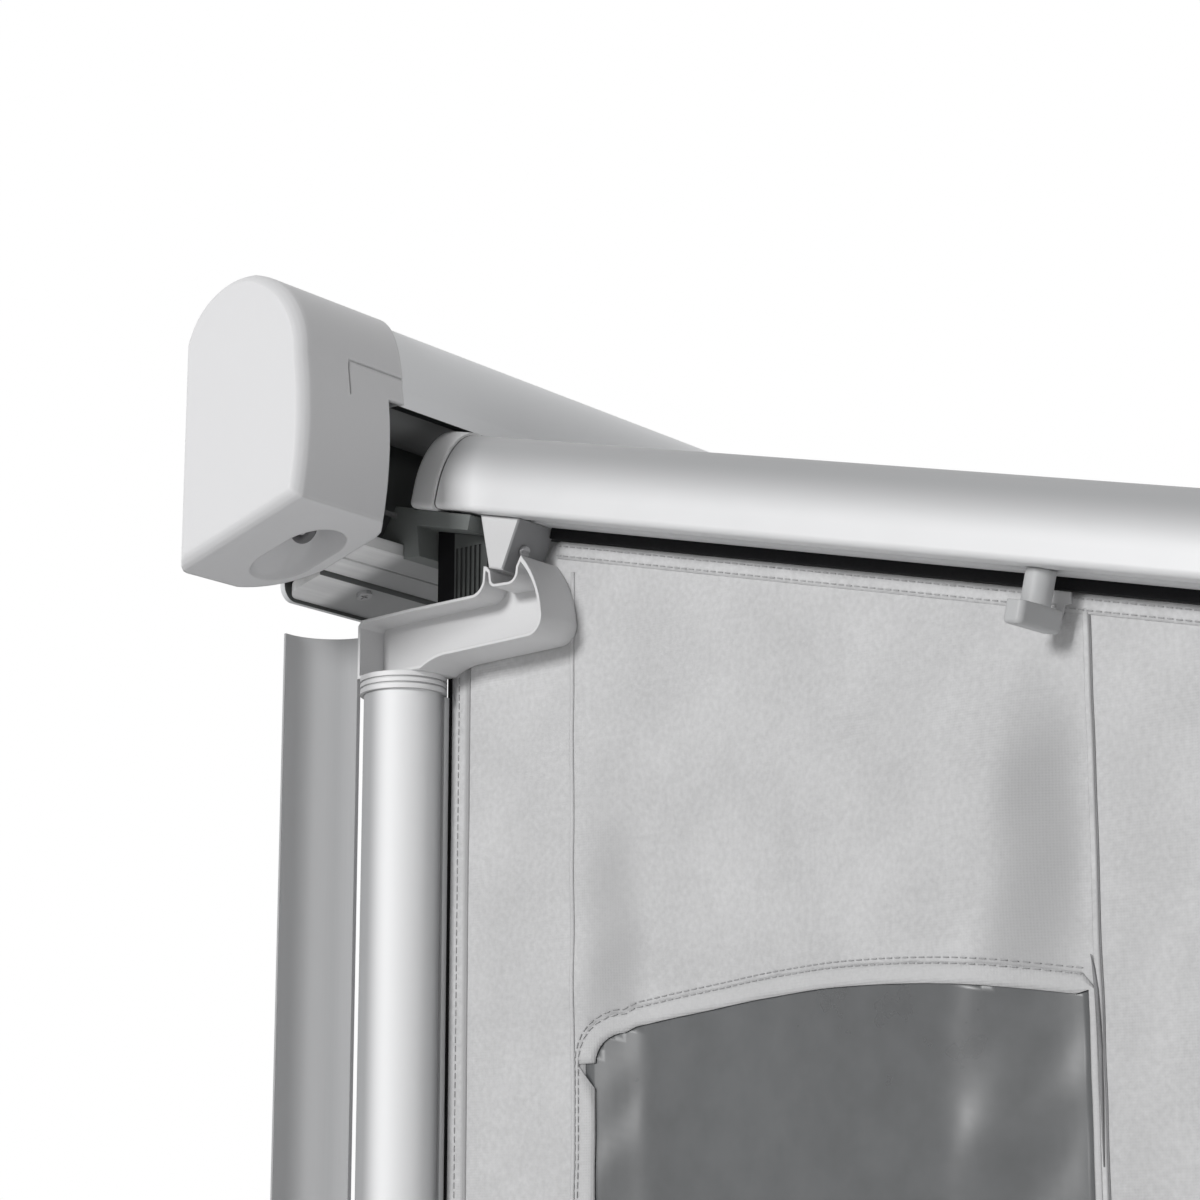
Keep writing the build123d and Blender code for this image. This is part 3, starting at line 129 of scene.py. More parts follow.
def finish(name, color, rough=0.5, metal=0.0, spread=0.03, grain=900.0, stretch=(1, 1, 1),
           bump=0.00003, edge=0.0006, wear_and_highlight=0.0, blotch=9.0, rough_spread=0.06, level=0.5,
           sheen=0.0, alpha=1.0, weave=0.0, weave_axes=("Y", "Z"), weave_bump=0.00012,
           second=None, split=None, inside=None, tones=()):
    """Material. grain, blotch: scales of the noises; spread: how far the two shades are apart;
    edge: radius of the softened edges (m); second: colour below the place split on its axis;
    inside: painted shade on faces turned to the middle of the case; tones: further shades, see
    below; weave: distance of the cloth's threads (m)."""
    material = bpy.data.materials.new(name)
    material.use_nodes = True
    tree = material.node_tree
    shader = tree.nodes["Principled BSDF"]

    def add(kind, settings=(), **inputs):
        """New node; inputs are named by their sockets, or by a numbered socket as _0, _1."""
        node = tree.nodes.new(kind)
        for key, value in dict(settings).items():
            setattr(node, key, value)
        for key, value in inputs.items():
            socket = node.inputs[int(key[1:]) if key[0] == "_" else key.replace("_", " ")]
            if isinstance(value, bpy.types.NodeSocket):
                tree.links.new(value, socket)
            else:
                socket.default_value = value
        return node

    def math_node(operation, a, b):
        return add("ShaderNodeMath", {"operation": operation}, _0=a, _1=b).outputs[0]

    def vector_node(operation, a, b):
        return add("ShaderNodeVectorMath", {"operation": operation}, _0=a, _1=b).outputs

    def span(value, low, high, to_low=0.0, to_high=1.0, **settings):
        return add("ShaderNodeMapRange", settings, Value=value, From_Min=low, From_Max=high,
                   To_Min=to_low, To_Max=to_high).outputs["Result"]

    def blend(factor, a, b):
        a, b = ((*value, 1) if isinstance(value, tuple) else value for value in (a, b))
        return add("ShaderNodeMix", {"data_type": "RGBA"}, _0=factor, _6=a, _7=b).outputs[2]

    texture = add("ShaderNodeTexCoord")
    coords = texture.outputs["Object"]
    stretched = add("ShaderNodeMapping", Vector=coords, Scale=stretch).outputs["Vector"]
    fine = add("ShaderNodeTexNoise", Vector=stretched, Scale=grain, Detail=3.0).outputs["Fac"]
    broad = add("ShaderNodeTexNoise", Vector=coords, Scale=blotch, Detail=2.0).outputs["Fac"]
    both = math_node("ADD", math_node("MULTIPLY", fine, FINE_SHARE),
                     math_node("MULTIPLY", broad, BROAD_SHARE))
    base = blend(span(both, *SHADE_NOISE),
                 *(tuple(min(1.0, c * (1 + k * spread)) for c in color) for k in (-1, 1)))
    if second:
        axis, border = split
        axes = add("ShaderNodeSeparateXYZ", _0=coords)
        side = span(axes.outputs[axis], border - SPLIT_BLUR, border + SPLIT_BLUR)
        base = blend(side, second, base)
    outside_spot = 1.0
    for source, direction, low, high, shade, *measure in tones:
        # A shade reached smoothly along a direction of the faces ("Normal") or of the piece
        # ("Object"), or near a point ("DISTANCE"), where no paler edge shows; most tones here are
        # painted light or shade
        along = vector_node(measure[0] if measure else "DOT_PRODUCT",
                            texture.outputs[source], direction)
        reach = span(along["Value"], low, high, interpolation_type="SMOOTHSTEP")
        base = blend(reach, base, shade)
        if measure:
            outside_spot = math_node("SUBTRACT", 1.0, reach)
    # Painted shade on faces turned to the middle of the case
    if inside:
        geometry = add("ShaderNodeNewGeometry").outputs
        away = vector_node("SUBTRACT", geometry["Position"], CASE_MIDDLE)["Vector"]
        across = vector_node("MULTIPLY", away, (0.0, 1.0, 1.0))["Vector"]
        facing = vector_node("DOT_PRODUCT", across, geometry["True Normal"])["Value"]
        base = blend(span(facing, *TURNED_IN), base, inside)
    # Paler edges: wear on most materials, a painted highlight on the case's end caps and the
    # rafter's end cap
    if wear_and_highlight:
        rounded = add("ShaderNodeBevel", {"samples": BEVEL_SAMPLES}, Radius=edge * PALE_EDGE_WIDTH)
        straight = add("ShaderNodeNewGeometry")
        flat = vector_node("DOT_PRODUCT", rounded.outputs["Normal"], straight.outputs["Normal"])
        pale_edge = math_node("MULTIPLY", span(flat["Value"], NO_PALE_EDGE, FULL_PALE_EDGE, 0.0, wear_and_highlight),
                        span(broad, *PALE_EDGE_NOISE, LEAST_PALE_EDGE, 1.0))
        pale_edge = math_node("MULTIPLY", pale_edge, outside_spot)
        base = blend(pale_edge, base, tuple(min(1.0, c * PALE_EDGE_GAIN + PALE_EDGE_LIFT) for c in color))
    tree.links.new(base, shader.inputs["Base Color"])
    tree.links.new(span(both, *ROUGH_NOISE, rough - rough_spread, rough + rough_spread),
                   shader.inputs["Roughness"])
    for key, value in (("Metallic", metal), ("Specular IOR Level", level), ("Alpha", alpha),
                       ("Sheen Weight", sheen), ("Sheen Roughness", SHEEN_ROUGHNESS)):
        shader.inputs[key].default_value = value
    relief = add("ShaderNodeBump", Strength=1.0, Distance=bump, Height=fine)
    if edge:
        rounded = add("ShaderNodeBevel", {"samples": BEVEL_SAMPLES}, Radius=edge)
        tree.links.new(rounded.outputs["Normal"], relief.inputs["Normal"])
    if weave:
        threads = [add("ShaderNodeTexWave", {"bands_direction": axis}, Vector=coords,
                       Scale=WAVE_SCALE / weave, Distortion=WAVE_WARP, Detail_Scale=2.0)
                   for axis in weave_axes]
        height = math_node("ADD", *(wave.outputs["Fac"] for wave in threads))
        relief = add("ShaderNodeBump", Strength=1.0, Distance=weave_bump, Height=height,
                     Normal=relief.outputs["Normal"])
    tree.links.new(relief.outputs["Normal"], shader.inputs["Normal"])
    return material


# Directions of the tones: out along the rafter, up from it, and from the wall pole to the side of
# its painted highlight
OUT, UP = (0.0, -0.97196, -0.23514), (0.0, -0.2351, 0.972)
FRONT, POLE_HIGHLIGHT_SIDE = (0.0, -1.0, 0.0), (-0.643, -0.766, 0.0)
# Painted shade in the side wall's folds: cloth faces turned to the front are darker
PAINTED_FOLD_SHADE = ("Normal", FRONT, 0.0, 0.5, (0.45, 0.45, 0.455))

PAINT = dict(rough=0.42, grain=1500, bump=0.000008, wear_and_highlight=0.15, level=0.3)
ALONG_POST = dict(grain=1400, stretch=(1, 1, 0.02), bump=0.000006)
ALONG_CASE = dict(grain=1200, stretch=(0.03, 1, 1), bump=0.000008)
CAST = dict(spread=0.02, grain=1800, bump=0.00002, edge=0.0009, wear_and_highlight=0.15)
MOULD = dict(grain=2200, bump=0.00002, edge=0.001)
FINE_MOULD = dict(spread=0.02, grain=2200, bump=0.000015)
CLOTH = dict(edge=0, sheen=0.1, weave=0.0013)
WALL_CLOTH = dict(rough=0.8, grain=380, bump=0.0001, level=0.2, weave_bump=0.00003,
                  tones=[PAINTED_FOLD_SHADE], **CLOTH)
THREAD = dict(rough=0.8, spread=0.2, grain=2500, bump=0.00008, edge=0, blotch=60, level=0.2)

# The cap's tone paints shade on its narrow lip in the case's dark mouth, and its paler edges are a
# painted highlight on its rim
cap_shell = finish("cap_shell", (0.73, 0.73, 0.74), 0.46, spread=0.012, grain=2600, bump=0.00001,
                   edge=0.0022, wear_and_highlight=0.4, level=0.3,
                   tones=[("Object", (-1.2300, -0.078, -0.034), 0.0072, 0.0062,
                           (0.02, 0.02, 0.02), "DISTANCE")])
# The case's inside is painted shade: hood, back profile and floor go dark on faces turned into it
paint = finish("paint", (0.92, 0.93, 0.945), spread=0.015, inside=(0.014, 0.016, 0.016), **PAINT)
back_paint = finish("back_paint", (0.66, 0.67, 0.68), inside=(0.08, 0.085, 0.083), **PAINT)
# The floor also darkens from x = -1.19 m on, as painted shadow
floor_metal = finish("floor_metal", (0.86, 0.865, 0.87), 0.45, metal=0.1, spread=0.2, grain=140,
                     stretch=(0.05, 1, 1), bump=0.000012, wear_and_highlight=0.3, level=0.3, blotch=22,
                     inside=(0.16, 0.165, 0.165),
                     tones=[("Object", (1.0, 0.0, 0.0), -1.205, -1.190, (0.40, 0.405, 0.41))])
# The rafter: painted light near the case, against the end cap's shadow; painted shade at its top;
# and a painted shadow line beside its end cap
satin = finish("satin", (0.73, 0.732, 0.74), 0.45, metal=0.08, spread=0.015, grain=1400,
               stretch=(1, 0.03, 0.03), bump=0.000006, wear_and_highlight=0.15, level=0.25, edge=0.0009,
               tones=[("Object", OUT, 0.125, 0.085, (0.96, 0.962, 0.97)),
                      ("Object", UP, 0.004, 0.030, (0.385, 0.388, 0.395)),
                      ("Object", OUT, 0.0838, 0.0833, (0.06, 0.06, 0.062))])
# The pole and legs are paler on faces turned out from the wall and towards the left end: a painted
# highlight
satin_post = finish("satin_post", (0.39, 0.393, 0.40), 0.62, metal=0.1, spread=0.02, wear_and_highlight=0.1,
                    level=0.1, rough_spread=0.03, **ALONG_POST,
                    tones=[("Normal", POLE_HIGHLIGHT_SIDE, 0.42, 1.0, (0.90, 0.903, 0.91))])
# The wall channel is paler on faces turned to the front: painted light
channel_metal = finish("channel_metal", (0.42, 0.423, 0.43), 0.6, spread=0.025, wear_and_highlight=0.2,
                       level=0.2, **ALONG_POST,
                       tones=[("Normal", FRONT, 0.5, 0.95, (0.62, 0.623, 0.63))])
roller_metal = finish("roller_metal", (0.27, 0.275, 0.28), 0.5, metal=0.1, wear_and_highlight=0.1, level=0.2,
                      **ALONG_CASE)
rail_metal = finish("rail_metal", (0.66, 0.67, 0.68), 0.42, metal=0.2, wear_and_highlight=0.2, level=0.3,
                    **ALONG_CASE)
arm_metal = finish("arm_metal", (0.64, 0.65, 0.66), 0.42, metal=0.2, grain=1300,
                   stretch=(0.3, 0.04, 1), bump=0.000008, wear_and_highlight=0.2, level=0.3)
hanger_cast = finish("hanger_cast", (0.63, 0.63, 0.635), level=0.3, **CAST,
                     tones=[("Normal", FRONT, 0.25, 0.7, (0.30, 0.302, 0.31))])
# The collar is paler on the same side as the pole: a painted highlight
collar_cast = finish("collar_cast", (0.50, 0.50, 0.505), level=0.2, **CAST,
                     tones=[("Normal", POLE_HIGHLIGHT_SIDE, 0.35, 0.95, (0.88, 0.88, 0.885))])
casting = finish("casting", (0.69, 0.69, 0.695), level=0.3, **CAST)
grey_mould = finish("grey_mould", (0.40, 0.405, 0.41), wear_and_highlight=0.1, level=0.3, **MOULD)
dim_mould = finish("dim_mould", (0.06, 0.065, 0.063), 0.55, spread=0.08, wear_and_highlight=0.05, level=0.2,
                   **MOULD)
pale_mould = finish("pale_mould", (0.48, 0.485, 0.49), 0.46, edge=0.001, wear_and_highlight=0.1, level=0.3,
                    **FINE_MOULD)
# The rafter's end cap is paler than its own colour, as painted light against the case's shadow, and
# its paler edges are a painted highlight
ring_mould = finish("ring_mould", (0.88, 0.883, 0.89), 0.42, edge=0.0022, wear_and_highlight=0.9, level=0.35,
                    **FINE_MOULD)
dark_mould = finish("dark_mould", (0.20, 0.212, 0.208), spread=0.08, grain=1800, edge=0.0008,
                    wear_and_highlight=0.08, level=0.2)
flap_rubber = finish("flap_rubber", (0.010, 0.010, 0.011), 0.8, spread=0.15, grain=1500,
                     bump=0.00004, edge=0.0004, level=0.08, second=(0.10, 0.106, 0.104),
                     split=("Y", -0.0783))
edging = finish("edging", (0.012, 0.012, 0.013), 0.75, spread=0.2, grain=1300, bump=0.00008,
                edge=0.0004, stretch=(1, 0.4, 0.4), level=0.1)
foot_rubber = finish("foot_rubber_finish", (0.03, 0.03, 0.031), 0.7, spread=0.2, grain=1100,
                     bump=0.00008, wear_and_highlight=0.1, level=0.2)
steel = finish("steel", (0.45, 0.45, 0.46), 0.35, metal=0.6, spread=0.05, stretch=(1, 1, 0.1),
               bump=0.00001, wear_and_highlight=0.2)
wall_fabric = finish("wall_fabric", (0.56, 0.56, 0.565), spread=0.105, blotch=24, **WALL_CLOTH)
hem_fabric = finish("hem_fabric", (0.57, 0.57, 0.575), spread=0.11, blotch=40, **WALL_CLOTH)
border_fabric = finish("border_fabric", (0.555, 0.555, 0.56), 0.75, spread=0.06, grain=500,
                       bump=0.00004, blotch=30, level=0.25, weave_bump=0.00005, **CLOTH)
roof_fabric = finish("roof_fabric", (0.56, 0.56, 0.565), 0.7, spread=0.05, grain=500,
                     bump=0.00005, edge=0, blotch=14, level=0.3, sheen=0.1, weave=0.0012,
                     weave_axes=("X", "Y"), weave_bump=0.00008)
# Dark strips of painted shadow beside the second seam and its crease
painted_shadow_line = finish("painted_shadow_line", (0.24, 0.24, 0.245), **THREAD)
thread = finish("thread", (0.42, 0.42, 0.425), **THREAD)
film = finish("film", (0.10, 0.104, 0.108), 0.3, spread=0.15, grain=60, edge=0, blotch=7,
              rough_spread=0.05, alpha=0.8, level=0.3)
wire_steel = finish("wire_steel", (0.16, 0.16, 0.165), 0.45, metal=0.3, spread=0.08,
                    bump=0.00001)

looks = {
    cap_shell: ["left_end_cap", "right_end_cap"],
    paint: ["hood", "hood_strip"],
    back_paint: ["back_profile"],
    floor_metal: ["case_floor"],
    satin: ["rafter_tube", "rafter_slide"],
    satin_post: ["wall_pole", "pole_inner", "left_leg_outer", "right_leg_outer",
                 "left_leg_inner", "right_leg_inner"],
    channel_metal: ["wall_channel"],
    rail_metal: ["lead_rail"],
    roller_metal: ["roller_tube"],
    arm_metal: ["left_upper_arm", "right_upper_arm", "left_forearm", "right_forearm"],
    hanger_cast: ["hanger_block"],
    casting: ["left_shoulder_bracket", "right_shoulder_bracket", "corner_bracket",
              "left_leg_hinge", "right_leg_hinge", "knob_hook"],
    collar_cast: ["pole_collar"],
    grey_mould: ["rafter_nose", "left_rail_cap", "right_rail_cap"],
    dim_mould: ["gearbox", "right_bearing", "left_roller_plug", "right_roller_plug"],
    pale_mould: ["t_knob"],
    ring_mould: ["rafter_end_cap"],
    dark_mould: ["rafter_shoe"],
    flap_rubber: ["corner_flap"],
    edging: ["top_strip", "side_strip"],
    foot_rubber: ["left_leg_foot", "right_leg_foot", "pole_foot"],
    steel: ["left_elbow_pin", "right_elbow_pin", "left_shoulder_pin", "right_shoulder_pin",
            "left_wrist_pin", "right_wrist_pin", "hanger_screw", "case_screws",
            "left_arm_spring", "right_arm_spring"],
    wire_steel: ["winch_eye"],
}
for material, names in looks.items():
    for node in names:
        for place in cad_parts[node].material_slots:
            place.material = material


# Shared helpers for the soft pieces. From here on lengths are millimetres, and metres() turns
# a point into the frame's metres
SLOPE = math.radians(13.6)
SIN, COS = math.sin(SLOPE), math.cos(SLOPE)
SLOPE_Y, SLOPE_Z = -32, -7


def metres(x, y, z):
    return x / 1000, y / 1000, z / 1000


def on_slope(x, out, high):
    """Point at a distance out along the slope of the canopy and high above it."""
    return metres(x, SLOPE_Y - COS * out - SIN * high, SLOPE_Z - SIN * out + COS * high)


def smooth(t):
    t = max(0.0, min(1.0, t))
    return t * t * (3 - 2 * t)


def rise(value, start, length):
    """Smooth step from 0 at start to 1 at start + length."""
    return smooth((value - start) / length)


def piece(name, points, faces, material, body, slot, thick):
    mesh = bpy.data.meshes.new(name)
    mesh.from_pydata(points, [], faces)
    mesh.update()
    mesh.shade_smooth()
    mesh.materials.append(material)
    ob = new_object(name, mesh)
    solid = ob.modifiers.new("thickness", "SOLIDIFY")
    solid.thickness = thick / 1000
    solid.offset = 0.0
    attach(ob, body)
    return ob


def steps(start, stop, size):
    """Even steps of about that size from start up to, but without, stop."""
    count = max(1, round(abs(stop - start) / size))
    return [start + (stop - start) * k / count for k in range(count)]


def grid(rows, wanted=lambda row, column: True):
    """Points and faces of a grid given as rows of points; wanted(row, column) keeps a face."""
    wide = len(rows[0])
    points = [point for row in rows for point in row]
    faces = [(r * wide + c, r * wide + c + 1, (r + 1) * wide + c + 1, (r + 1) * wide + c)
             for r in range(len(rows) - 1) for c in range(wide - 1) if wanted(r, c)]
    used = sorted({k for face in faces for k in face})
    place = {old: new for new, old in enumerate(used)}
    return [points[k] for k in used], [tuple(place[k] for k in face) for face in faces]


# Side wall cloth: hangs from the top strip, with folds that start at the T-knob and the seams.
# It lies near x = WALL_X, from y = NEAR_EDGE beside the pole out to FAR_EDGE
WALL_X = -1162.8
NEAR_EDGE, FAR_EDGE, LOW_EDGE = -62, -1542, -2060
FINE_END, FINE_DEPTH = -470, 765
SEAM_1, SEAM_2 = -139.5, -425.5
FAR_SEAMS = (-712.0, -998.0, -1284.0)
TOP_EDGE = ((NEAR_EDGE, -91.5), (-110, -75), (-127.3, -41.9))

# Its window: near and far side, lower edge, and an arch given by its top, radius and half width
WINDOW_NEAR, WINDOW_FAR, WINDOW_LOW = -152.0, -419.0, -797.0
ARCH_Y, ARCH_Z, ARCH_RADIUS, ARCH_HALF = -285.0, -277, 800.0, 131
TOP_ROUND, LOW_ROUND = 14.0, 40.0
ARCH_STEPS, ROUND_STEPS, SIDE_STEP = 44, 8, 12
MOST_FAR_GROWTH = 3.2
CLOTH_OVER_FILM = 5

# How far each kind of fold takes the cloth out of its plane; outwards is negative
SWELL, PAST_SEAM, ROLL, WAVE, WAVE_WIDTH = -16.0, 2.0, 9.5, 4.5, 200
UNEVEN, RUFFLE, SLACK, PUCKER = 2.6, 0.8, 0.9, 0.45


def wall_top(y):
    """Height of the cloth's top edge: two short lines beside the pole, then the slope."""
    for (y1, z1), (y2, z2) in zip(TOP_EDGE, TOP_EDGE[1:]):
        if y > y2:
            return z1 + (y - y1) / (y2 - y1) * (z2 - z1)
    return z2 + (y - y2) * math.tan(SLOPE)


def wall_x(y, z):
    """X of the cloth's middle surface; smaller is nearer the outer side."""
    depth = wall_top(y) - z
    hang = rise(depth, 25, 190)
    # Fold below the T-knob: it swells outwards and falls back just before the second seam
    crest = -390 + min(0.22 * max(0.0, depth - 50), 40) + 9 * noise.noise((z / 70, 2.2, 6.1))
    fall = smooth((crest - y) / (crest - SEAM_2 - 3))
    swell = SWELL * rise(-y, 215, -crest - 215) * (1 - fall) * rise(depth, 12, 95)
    past = PAST_SEAM * rise(SEAM_2 - y, 0, 26) * hang
    # Soft roll beside the first seam
    near = SEAM_1 - 3 - y
    roll = ROLL * rise(near, 0, 38) * (1 - rise(near, 38, 120)) * rise(depth, 70, 120)
    # Broad hanging waves further out, slow unevenness everywhere, and puckers at the top seam
    far = rise(-y, 470, 120)
    waves = far * hang * WAVE * (0.5 - 0.5 * math.cos(2 * math.pi * (-y - 440) / WAVE_WIDTH))
    uneven = (UNEVEN * hang * noise.noise((y / 110, z / 230, 3.1))
              + RUFFLE * noise.noise((y / 34, z / 70, 8.7)))
    slack = (SLACK * noise.noise(((y + z) / 30, (y - z) / 110, 5.5))
             * rise(depth, 0, 60) * (1 - far))
    pucker = PUCKER * noise.noise((y / 9, z / 40, 1.3)) * (1 - rise(depth, 4, 22))
    free = rise(-y, 66, 30)
    return WALL_X + free * (swell + past + roll + waves + uneven + slack + pucker)


def on_wall(y, z, lift=0.0):
    """Point on the cloth, lifted from its middle surface; a smaller lift is further out."""
    return metres(wall_x(y, z) + lift, y, z)


def window_line(grow):
    """Closed outline of the window, grown outwards all round, but little at its far side."""
    line = []
    near, low = WINDOW_NEAR - TOP_ROUND, WINDOW_LOW + LOW_ROUND
    far = WINDOW_FAR - min(grow, MOST_FAR_GROWTH)
    arch_low = ARCH_Z - ARCH_HALF ** 2 / (2 * ARCH_RADIUS)

    def corner(y, z, radius, first):
        for k in range(ROUND_STEPS + 1):
            angle = math.radians(first + 90 * k / ROUND_STEPS)
            line.append((y + radius * math.cos(angle), z + radius * math.sin(angle)))

    low_radius = LOW_ROUND + grow
    corner(near, arch_low - TOP_ROUND, TOP_ROUND + grow, 0)
    for k in range(1, ARCH_STEPS):
        y = near + (far - near) * k / ARCH_STEPS
        line.append((y, ARCH_Z + grow - (y - ARCH_Y) ** 2 / (2 * ARCH_RADIUS)))
    line += [(far, z) for z in steps(arch_low + 2.0, low, SIDE_STEP)]
    corner(far + low_radius, low, low_radius, 180)
    line += [(y, WINDOW_LOW - grow)
             for y in steps(far + low_radius, WINDOW_NEAR - LOW_ROUND, SIDE_STEP)[1:]]
    corner(WINDOW_NEAR - LOW_ROUND, low, low_radius, 270)
    line += [(WINDOW_NEAR + grow, z) for z in steps(low, arch_low - TOP_ROUND, SIDE_STEP)[1:]]
    return line


def encloses(line, y, z):
    inside = False
    for (y1, z1), (y2, z2) in zip(line, line[1:] + line[:1]):
        if (z1 > z) != (z2 > z) and y < (y2 - y1) * (z - z1) / (z2 - z1) + y1:
            inside = not inside
    return inside


columns = steps(NEAR_EDGE, FINE_END, 5) + steps(FINE_END, FAR_EDGE, 18) + [FAR_EDGE]
depths = steps(0, FINE_DEPTH, 5.5) + steps(FINE_DEPTH, -LOW_EDGE, 30)
flat = [[(y, wall_top(y) + depth * (wall_top(y) - LOW_EDGE) / LOW_EDGE) for y in columns]
        for depth in depths] + [[(y, LOW_EDGE) for y in columns]]
rows = [[on_wall(y, z) for y, z in line] for line in flat]
opening = window_line(CLOTH_OVER_FILM)


def in_opening(row, column):
    (y1, z1), (y2, _), z2 = flat[row][column], flat[row][column + 1], flat[row + 1][column + 1][1]
    return encloses(opening, (y1 + y2) / 2, (z1 + z2) / 2)


wall = piece("wall_cloth", *grid(rows, lambda row, column: not in_opening(row, column)),
             wall_fabric, "case", "wall_cloth", 1.1)
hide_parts("side_wall")
pane = piece("window_film", *grid(rows, in_opening), film, "case", "clear_film", 0.7)
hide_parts("side_window")


# Trims of the side wall: window border, seams, hems and stitches, and dark strips of painted
# shadow at the second seam and its crease
def band(name, line_a, line_b, lift, material, thick):
    """Strip of cloth that lies on the side wall between two lines of (y, z)."""
    strip = []
    for (ya, za), (yb, zb) in zip(line_a, line_b):
        across = [(ya + (yb - ya) * k / 3, za + (zb - za) * k / 3) for k in range(4)]
        strip.append([on_wall(y, z, lift * (1 + crown))
                      for (y, z), crown in zip(across, (0.0, 0.25, 0.25, 0.0))])
    piece(name, *grid(strip), material, "case", "wall_cloth", thick)


def upright(y, heights):
    return [(y, z) for z in heights]


def below_top(drop):
    return [(y, wall_top(y) - drop) for y in top_y]


def under_top(y, heights):
    return [z for z in heights if z < wall_top(y) - 1]


def ring(grow):
    line = window_line(grow)
    return line + line[:1]


near_seam_z = steps(-60, -2050, 10) + [-2050]
far_seam_z = steps(-100, -2050, 12) + [-2050]
hem_z = steps(-100, -2058, 12) + [-2058]
top_y = steps(-130, -1540, 9) + [-1540]
# Painted shadow of the crease beside the window, drawn as a dark strip: height, near side, far side
CREASE = ((-271, -421.0, -421.1), (-277, -421.4, -422.5), (-286, -421.8, -423.6),
          (-310, -422.6, -424.6), (-360, -423.4, -423.8))

band("window_border_outer", ring(0), ring(9.5), -0.95, border_fabric, 0.7)
band("window_border_inner", ring(0), ring(9.5), 1.15, border_fabric, 0.7)
# The third strip is painted shadow: a dark line beside the second seam's raised lap
for name, seam, start, stop, lift, material, thick in (
        ("seam_ridge_1", SEAM_1, 1.1, -1.1, -0.75, border_fabric, 0.5),
        ("seam_ridge_2", SEAM_2, 3.6, 0.5, -0.75, hem_fabric, 0.6),
        ("seam_shadow_2", SEAM_2, 0.5, -0.3, -0.62, painted_shadow_line, 0.3)):
    heights = under_top(seam, near_seam_z)
    band(name, upright(seam + start, heights), upright(seam + stop, heights), lift, material, thick)
band("crease_shadow", [(near, z) for z, near, _ in CREASE], [(far, z) for z, _, far in CREASE],
     -1.5, painted_shadow_line, 0.3)
for seam in FAR_SEAMS:
    heights = under_top(seam, far_seam_z)
    band("seam_lap_%d" % -seam, upright(seam + 9, heights), upright(seam, heights), -0.95,
         hem_fabric, 0.8)
end_z = [z for z in hem_z if z < -390]
band("side_hem", upright(-62.6, hem_z), upright(-74, hem_z), -0.75, hem_fabric, 0.6)
band("top_hem", below_top(0.6), below_top(9), -0.75, hem_fabric, 0.6)
band("low_hem", [(y, -2030) for y in top_y], [(y, -2059) for y in top_y], -0.8, hem_fabric, 0.8)
band("end_hem", upright(-1541.5, end_z), upright(-1515, end_z), -0.8, hem_fabric, 0.8)


def dense(line, size=6.0):
    """The same line with points no further apart than about that size."""
    full = []
    for (y1, z1), (y2, z2) in zip(line, line[1:]):
        for t in steps(0.0, 1.0, size / max(1.0, math.hypot(y2 - y1, z2 - z1))):
            full.append((y1 + (y2 - y1) * t, z1 + (z2 - z1) * t))
    return full + [line[-1]]


def stitches(name, line, lift, wide=0.62, pitch=4.4, long=3.0, crown=0.3):
    """Row of short threads along a line of (y, z) on the side wall."""
    line = dense(line)
    points, faces = [], []
    travel, due = 0.0, 1.0
    for (y1, z1), (y2, z2) in zip(line, line[1:]):
        run = math.hypot(y2 - y1, z2 - z1)
        if run < 1e-6:
            continue
        dy, dz = (y2 - y1) / run, (z2 - z1) / run
        while due <= travel + run:
            y, z = y1 + dy * (due - travel), z1 + dz * (due - travel)
            first = len(points)
            for along, up in ((-0.5, 0.0), (-0.25, crown), (0.25, crown), (0.5, 0.0)):
                for across in (-0.5, 0.5):
                    points.append(on_wall(y + dy * along * long - dz * across * wide,
                                          z + dz * along * long + dy * across * wide,
                                          lift - up))
            faces += [(a, a + 1, a + 3, a + 2) for a in (first, first + 2, first + 4)]
            due += pitch
        travel += run
    piece(name, points, faces, thread, "case", "wall_cloth", 0.25)


for word, grow, lift in (("a", 8.8, -1.45), ("b", 11.4, -0.7)):
    # Round the window but for its far side, which the second seam covers
    line = window_line(grow)
    side = [k for k, (y, _) in enumerate(line) if y < WINDOW_FAR - 1]
    stitches("stitch_window_" + word, line[side[-1] + 1:] + line[:side[0]], lift, 0.45)
stitches("stitch_top_a", below_top(2.4), -1.3, 0.5)
stitches("stitch_top_b", below_top(7.4), -1.3, 0.5)
stitches("stitch_side", upright(-67.2, hem_z), -1.3, 0.45)
for seam in FAR_SEAMS:
    for inset in (2.2, 6.6):
        stitches("stitch_seam_%d_%d" % (-seam, inset),
                 upright(seam + inset, under_top(seam, far_seam_z)), -1.55)

# Canopy: one cloth from the roller to the lead rail, in five widths, with the least of sags
OUT_START, OUT_END, HIGH = -2.3, 1800.0, 24.0
SAG, RIPPLE = 0.3, 0.12
HALF_WIDTH, ROOF_SEAMS, LAP_LIFT = 1130, (-678, -226, 226, 678), 0.85
out_steps = steps(OUT_START, OUT_END, 30) + [OUT_END]
x_steps = steps(-HALF_WIDTH, HALF_WIDTH, 28.25) + [HALF_WIDTH]


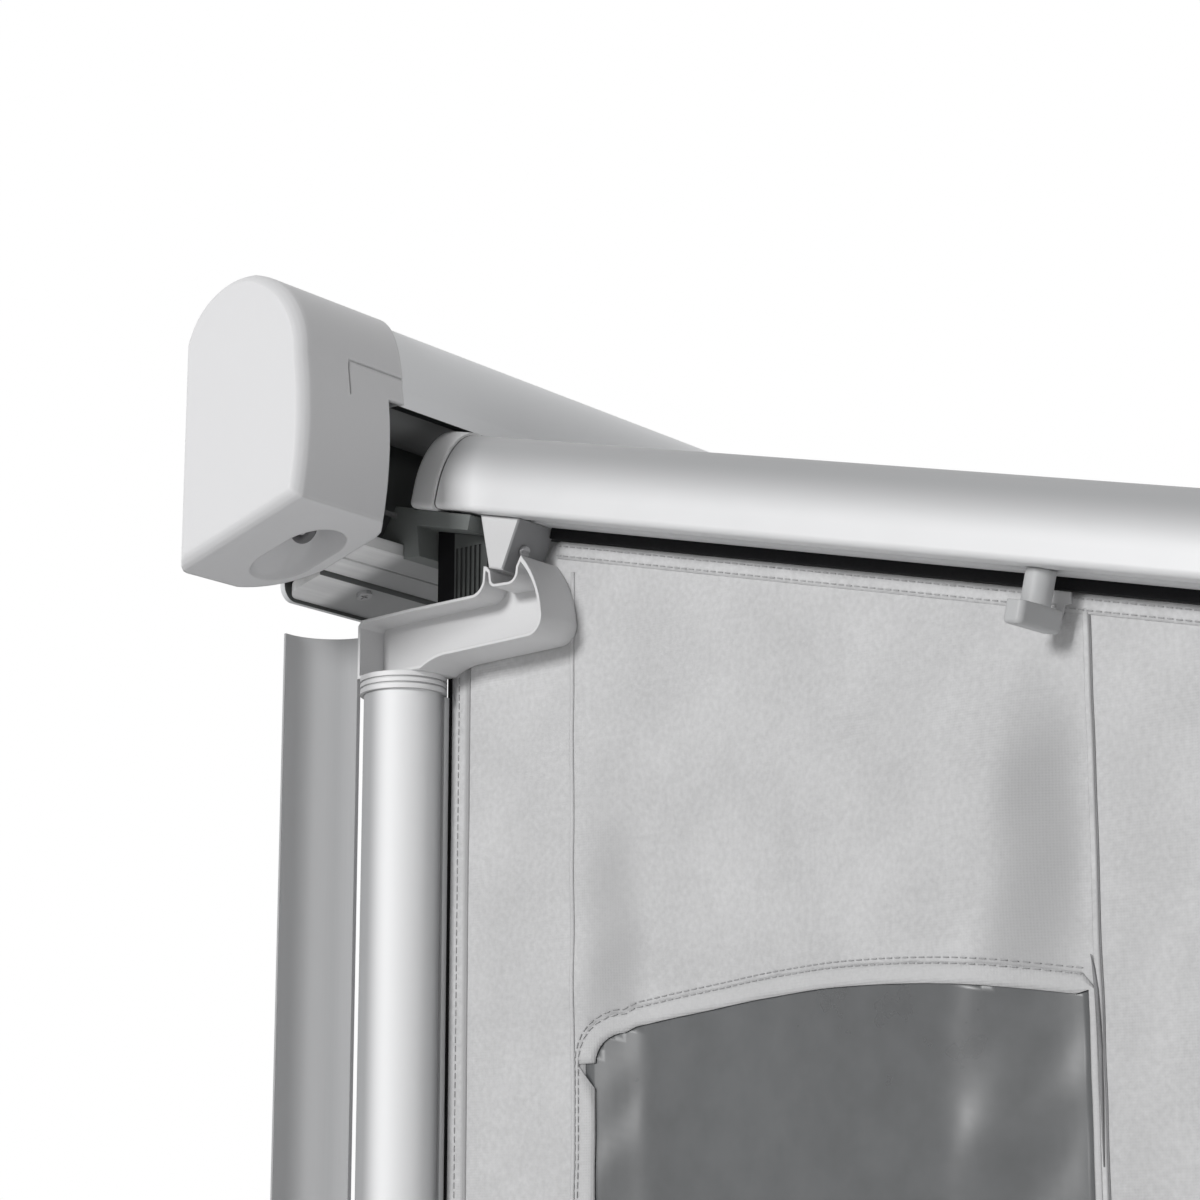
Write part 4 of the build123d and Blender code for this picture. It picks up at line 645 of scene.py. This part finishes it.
def bow(out):
    """0 at both ends of the canopy, 1 in the middle."""
    return math.sin(math.pi * ((out - OUT_START) / (OUT_END - OUT_START)))


def canopy_point(x, out):
    ripple = RIPPLE * noise.noise((x / 170, out / 500, 5.0)) * bow(out)
    return on_slope(x, out, HIGH - SAG * bow(out) + ripple)


roof = piece("canopy_cloth", *grid([[canopy_point(x, out) for x in x_steps] for out in out_steps]),
             roof_fabric, "case", "canopy_cloth", 0.9)
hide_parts("canopy")
roof_trims = []
for seam in ROOF_SEAMS:
    lap = [[on_slope(seam + dx, out, HIGH - SAG * bow(out) + LAP_LIFT) for dx in (-9, -3, 3, 9)]
           for out in out_steps]
    roof_trims.append(piece("canopy_seam_%d" % (seam + 700), *grid(lap), roof_fabric, "case",
                            "canopy_cloth", 0.6))
for ob in [roof] + roof_trims:
    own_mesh(ob)

# Turns of canopy left on the roller: a flat spiral of cloth
ROLLER_Y, ROLLER_Z = -42, 44
TURNS, START_ANGLE = 1.95, math.radians(-103)
FIRST_RADIUS, RADIUS_GROWTH, SPIRAL_POINTS = 25.5, 1.05, 118
wound_rows = []
for k in range(SPIRAL_POINTS):
    t = k / (SPIRAL_POINTS - 1)
    angle = 2 * math.pi * TURNS * t + START_ANGLE
    radius = FIRST_RADIUS + RADIUS_GROWTH * t
    wound_rows.append([metres(x, ROLLER_Y + radius * math.cos(angle),
                              ROLLER_Z + radius * math.sin(angle)) for x in x_steps[::4]])
roll = piece("wound_cloth", *grid(wound_rows), roof_fabric, "roller", "canopy_cloth", 0.45)
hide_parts("wound_canopy")

# Plain pale floor, just under the feet; this and the size are in metres again
FLOOR_HALF, FLOOR_Z = 9, -2.152
ground = bpy.data.meshes.new("floor")
ground.from_pydata([(x * FLOOR_HALF, y * FLOOR_HALF, FLOOR_Z)
                    for x, y in ((-1, -1), (1, -1), (1, 1), (-1, 1))], [], [(0, 1, 2, 3)])
ground.materials.append(finish("floor_pale", (0.80, 0.80, 0.80), 0.7, spread=0.01, grain=30,
                               bump=0.0, edge=0))
floor = new_object("floor", ground)
